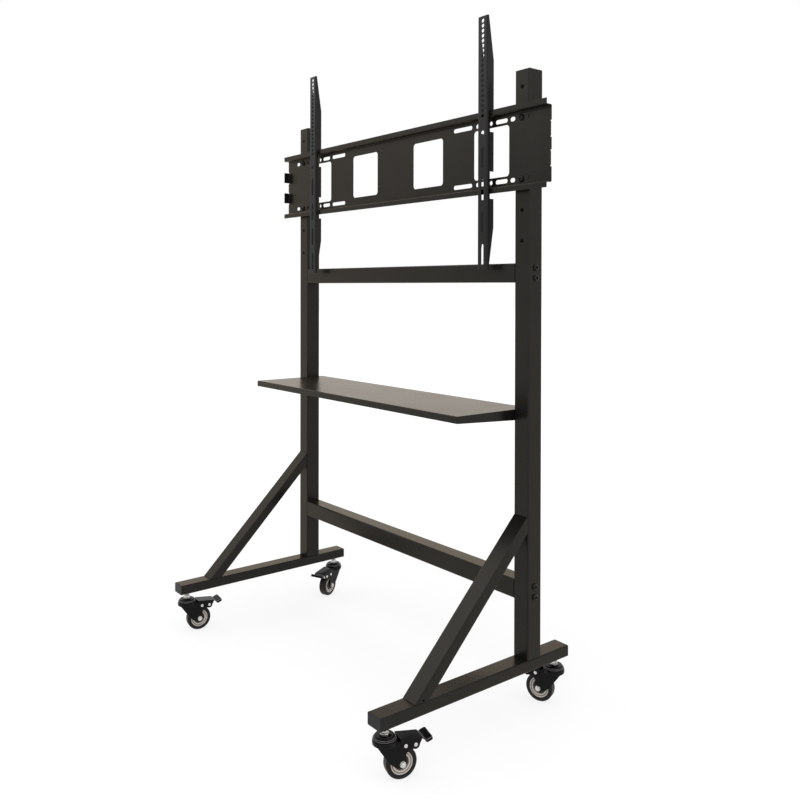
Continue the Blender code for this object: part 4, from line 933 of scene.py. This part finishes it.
radius, foot, top = CROWN
profile = [(0.0066, foot), (0.0066, top), (radius - 0.0032, top), (radius - 0.0016, top - 0.0004),
           (radius - 0.0004, top - 0.0016), (radius, top - 0.0032), (radius, foot + 0.0010),
           (radius - 0.0006, foot)]
boss = [(a, b, 0.0) for a, b in arc((TRAIL, WHEEL_RADIUS), CHEEK_BOSS, 235, 380, 18)]
outline = soft_corners(CHEEK_BACK + boss + CHEEK_FRONT)
cheeks = bmesh.new()
for side in (-1, 1):
    prism(outline, "Y", side * CHEEK_INNER, side * CHEEK_OUTER, cheeks)
fork = shape("fork", turned(profile, 56, closed=True), joins=[cheeks], edge=FORK_EDGE)
each_caster(fork, "fork_pressing", cup_coat, "swivel", "black_coat", "fork")


def domed_pin(half_length, centre):
    """Pin along Y with a low domed head at each end, through an (x, z) place."""
    dome = [(PIN_HEAD_RADIUS * math.cos(math.radians(a)), half_length + PIN_HEAD * math.sin(math.radians(a)))
            for a in (75, 60, 45, 30, 15, 0)]
    profile = [(0.0003, half_length + PIN_HEAD)] + dome + [(PIN_RADIUS, half_length)]
    profile += [(r, -y) for r, y in profile[::-1]]
    pin = turned(profile, 24, matrix=Matrix.Rotation(-math.pi / 2, 4, "X"))
    bmesh.ops.translate(pin, verts=pin.verts, vec=(centre[0], 0.0, centre[1]))
    return pin


rivet = mesh_object("rivet", domed_pin(RIVET_HALF, PEDAL_PIVOT))
each_caster(rivet, "pedal_rivet", zinc, "swivel", "bright_zinc")


# The wheels: a dark rubber tread moulded on a pale plastic core, with a stepped rim and a
# dark hub cover. The zinc plated axle bolt has a nut on its far end.
HALF_WIDTH = 0.0125
CORE_RADIUS = 0.0270
SHOULDER = 0.0045
SHOULDER_START = 0.0005
RIM_INSET = 0.0015
# The core, its groove and the hub cover, as radius and depth below the rim.
CORE_STEPS = ((CORE_RADIUS, 0.0006), (CORE_RADIUS - 0.0006, 0.0), (0.0245, 0.0), (0.0240, 0.0005),
              (0.0236, 0.0026), (0.0217, 0.0026), (0.0214, 0.0010), (0.0209, 0.0006), (0.0184, 0.0008),
              (0.0178, 0.0014), (0.0174, 0.0050), (0.0044, 0.0050))
GROOVE = ((0.0218, 0.0025), (0.0235, 0.0025), (0.0235, 0.0013), (0.0218, 0.0013))
HUB_COVER = ((0.0046, 0.0048), (0.0170, 0.0048), (0.0171, 0.0044), (0.0165, 0.0040), (0.0110, 0.0032),
             (0.0100, 0.0014), (0.0090, 0.0006), (0.0046, 0.0006))
# The axle's washer, domed nut and tip, as radius and distance out from the fork's cheek.
AXLE_RADIUS = 0.0040
AXLE_PLAY = 0.0003
AXLE_WASHER = ((0.0072, 0.0), (0.0072, 0.0010), (0.0030, 0.0010), (0.0030, 0.0))
NUT_RADIUS = 0.0068
NUT_DOME = ((0.0068, 0.0002), (0.0068, 0.0042), (0.0058, 0.0052), (0.0002, 0.0052))
AXLE_TIP = ((0.0038, 0.0040), (0.0038, 0.0060), (0.0032, 0.0065))


def moulded(name, dark, light, rough, scale=700.0, **constants):
    """Moulded rubber or plastic: slow drifts of tone and a fine moulded grain."""
    material, wire = new_finish(name)
    drift = wire.speckle(60.0, 3.0)
    grain = wire.speckle(scale, 2.0)
    tone = (drift * 0.6 + grain * 0.4).blend(dark, light)
    gloss = rough + (grain - 0.5) * 0.14
    return set_finish(material, tone, gloss, grain.bump(0.12, GRAIN_DEPTH), constants)


tread = moulded("tread", (0.0050, 0.0036, 0.0028), (0.0100, 0.0074, 0.0058), 0.40, 1200.0, IOR=1.30)
core_pale = moulded("core_pale", (0.62, 0.56, 0.51), (0.74, 0.68, 0.63), 0.34)
hub_dark = moulded("hub_dark", (0.020, 0.013, 0.010), (0.040, 0.028, 0.022), 0.38)
wheel_turn = Matrix.Translation((TRAIL, 0.0, WHEEL_RADIUS)) @ Matrix.Rotation(-math.pi / 2, 4, "X")
profile = [(CORE_RADIUS + 0.0003, -HALF_WIDTH), (0.0300, -HALF_WIDTH), (0.0310, -HALF_WIDTH + 0.0003)]
for bend in (math.radians(a) for a in (-80, -60, -40, -20, 0)):
    profile.append((WHEEL_RADIUS - SHOULDER + SHOULDER * math.cos(bend),
                    -HALF_WIDTH + SHOULDER_START + (SHOULDER - SHOULDER_START) * (1 + math.sin(bend))))
profile += [(WHEEL_RADIUS, -0.0002), (WHEEL_RADIUS - 0.00015, 0.0)]
profile += [(r, -y) for r, y in profile[-2::-1]]
tyre = mesh_object("tyre", turned(profile, 72, closed=True, matrix=wheel_turn), sharp=40.0)
each_caster(tyre, "tyre_tread", tread, "wheel", "dark_tread", "tyre")

rim = HALF_WIDTH - RIM_INSET
run = [(r, rim - depth) for r, depth in CORE_STEPS]
profile = run + [(r, -y) for r, y in run[::-1]]
core = mesh_object("core", turned(profile, 72, closed=True, matrix=wheel_turn), sharp=30.0)
each_caster(core, "wheel_core_ring", core_pale, "wheel", "pale_core", "wheel_core")
# A darker brown ring set into each groove of the pale core: painted shade in the groove.
groove_brown = moulded("groove_brown", (0.16, 0.125, 0.105), (0.24, 0.195, 0.165), 0.45)
for side, word in ((-1, "near"), (1, "far")):
    band = turned([(r, side * (rim - depth)) for r, depth in GROOVE], 72, closed=True, matrix=wheel_turn)
    band = mesh_object("band", band, sharp=30.0)
    each_caster(band, "core_groove_" + word, groove_brown, "wheel", "pale_core")
    cover = turned([(r, side * (rim - depth)) for r, depth in HUB_COVER], 56, closed=True, matrix=wheel_turn)
    cover = mesh_object("cover", cover, sharp=30.0)
    each_caster(cover, "hub_cover_" + word, hub_dark, "wheel", "black_plastic")
half = CHEEK_OUTER + AXLE_PLAY


def both_ends(profile, sides, closed=False):
    """The same turned form at both ends of the axle."""
    made = bmesh.new()
    for side in (-1, 1):
        turned([(r, side * (half + out)) for r, out in profile], sides, closed, wheel_turn, made)
    return made


axle = turned([(AXLE_RADIUS, -half), (AXLE_RADIUS, half)], 24, matrix=wheel_turn)
hexagons = bmesh.new()
outline = arc((TRAIL, WHEEL_RADIUS), NUT_RADIUS, 8, 368, 6)[:-1]
for side in (-1, 1):
    prism(outline, "Y", side * (half + 0.0005), side * (half + 0.0052), hexagons)
nuts = shape("nuts", hexagons, trims=[both_ends(NUT_DOME, 32)], edge=0.0)
ends = [both_ends(AXLE_WASHER, 32, closed=True), nuts, both_ends(AXLE_TIP, 24)]
each_caster(shape("axle", axle, joins=ends, edge=0.0), "axle_bolt", zinc, "swivel", "bright_zinc", "axle")


# The brake pedals: a bent black steel pressing that rocks on the fork's rivet, with side
# tabs, a step and a ribbed pad. Its zinc plated shoe hangs on a pin between the tabs.
PEDAL_SHEET = 0.0018
PEDAL_BEND = 0.0012
PEDAL_INNER, PEDAL_OUTER = 0.0175, 0.0193
TAB_RADIUS = 0.0100
PEDAL_PATH = [(0.0310, 0.0950), (0.0850, 0.0890), (0.0920, 0.0830), (0.1085, 0.0890)]
PAD_HALF = 0.0235
PAD_CORNER = 0.0044
# The layers of the pad and of the painted highlight band round its rim, as growth and rise over the pad's
# plane.
PAD_LAYERS = ((-0.0034, -0.0032), (-0.0034, -0.0060), (-0.0014, -0.0060), (0.0, -0.0045), (0.0, 0.0014),
              (-0.0006, 0.0020), (-0.0020, 0.0020), (-0.0026, 0.0012))
RIM_LAYERS = ((-0.0004, 0.0009), (0.0001, 0.0009), (0.0001, 0.0015), (-0.0006, 0.0021), (-0.0016, 0.0021),
              (-0.0016, 0.0016))
RIB_PITCH, RIB_RISE, RIB_END = 0.0034, 0.0015, 0.004
STRIP_HALF, STRIP_TOP, STRIP_RISE, STRIP_END = 0.0022, 0.0016, 0.0004, 0.001
SHOE_PIN = (0.0687, 0.0772)
SHOE_NECK, SHOE_FOOT, SHOE_HALF, SHOE_CORNER = 0.0025, 0.006, 0.010, 0.0012
SHOE_CLEAR = 0.006
plank = prism(folded(PEDAL_PATH, PEDAL_SHEET, PEDAL_BEND), "Y", -PEDAL_OUTER, PEDAL_OUTER)
tabs = bmesh.new()
outline = ([PEDAL_PATH[0]] + arc(PEDAL_PIVOT, TAB_RADIUS, 190, 290, 12)
           + arc(SHOE_PIN, TAB_RADIUS, -120, 0, 14) + [PEDAL_PATH[1]])
for side in (-1, 1):
    prism(outline, "Y", side * PEDAL_INNER, side * PEDAL_OUTER, tabs)
pad_start, pad_end = Vector(PEDAL_PATH[2]), Vector(PEDAL_PATH[3])
pad_run = (pad_end - pad_start).normalized()
pad_up = Vector((-pad_run.y, pad_run.x))
pad_middle = (pad_start + pad_end) / 2


def pad_ring(grow, rise):
    """Outline of the pad, grown by one amount and raised by another."""
    outline = rounded_box((pad_end - pad_start).length + 2 * grow, 2 * (PAD_HALF + grow), PAD_CORNER + grow)
    spots = [(pad_middle + pad_run * a + pad_up * rise, b) for a, b in outline]
    return [Vector((spot.x, b, spot.y)) for spot, b in spots]


pad = skin(bmesh.new(), [pad_ring(*layer) for layer in PAD_LAYERS])
pedal = shape("pedal", plank, joins=[tabs, pad])
each_caster(pedal, "pedal_pressing", cup_coat, "pedal", "black_coat", "brake_pedal")

bar = prism(rounded_box(0.0010, 0.0008, 0.0003), "Y", -PAD_HALF + RIB_END, PAD_HALF - RIB_END)
rib = mesh_object("rib", bar)
places = []
for index in range(3):
    spot = pad_middle + pad_run * (index - 1) * RIB_PITCH + pad_up * RIB_RISE
    places.append(((spot.x, 0.0, spot.y), (pad_up.x, 0.0, pad_up.y)))
ribs = stamp("ribs", rib, places, cup_coat)
bpy.data.objects.remove(rib, do_unlink=True)
each_caster(ribs, "pad_ribs", cup_coat, "pedal", "black_coat")

# The pale band round the pad's rim and the pale strip across the step are painted highlights.
rim_band = skin(bmesh.new(), [pad_ring(*layer) for layer in RIM_LAYERS], closed=True)
each_caster(mesh_object("rim_band", rim_band), "pad_rim_band", worn_edge, "pedal", "black_coat")
step_at = Vector(PEDAL_PATH[1]).lerp(Vector(PEDAL_PATH[2]), 0.5)
step_run = (Vector(PEDAL_PATH[2]) - Vector(PEDAL_PATH[1])).normalized()
step_up = Vector((-step_run.y, step_run.x))
base = step_at + step_up * (PEDAL_SHEET / 2 + 0.0001)
strip = skin(bmesh.new(), [[Vector((spot.x, y, spot.y)) for spot in (
    base - step_run * STRIP_HALF, base + step_run * STRIP_HALF,
    base + step_run * STRIP_TOP + step_up * STRIP_RISE, base - step_run * STRIP_TOP + step_up * STRIP_RISE)]
    for y in (-PEDAL_OUTER + STRIP_END, PEDAL_OUTER - STRIP_END)])
each_caster(mesh_object("strip", strip), "pedal_step_strip", worn_edge, "pedal", "black_coat")

toward = Vector((TRAIL - SHOE_PIN[0], WHEEL_RADIUS - SHOE_PIN[1]))
gap = toward.length - WHEEL_RADIUS
toward.normalize()
square = Vector((-toward.y, toward.x))
head = Vector(SHOE_PIN) - toward * SHOE_NECK
foot_at = Vector(SHOE_PIN) + toward * (gap - SHOE_CLEAR)
outline = soft_corners([
    (*(head + square * SHOE_NECK), SHOE_CORNER), (*(foot_at + square * SHOE_FOOT), SHOE_CORNER),
    (*(foot_at - square * SHOE_FOOT), SHOE_CORNER), (*(head - square * SHOE_NECK), SHOE_CORNER)])
block = prism(outline, "Y", -SHOE_HALF, SHOE_HALF)
shoe = shape("shoe", domed_pin(PEDAL_OUTER + AXLE_PLAY, SHOE_PIN), joins=[block], edge=0.0)
each_caster(shoe, "shoe_block", zinc, "pedal", "bright_zinc", "brake_shoe")
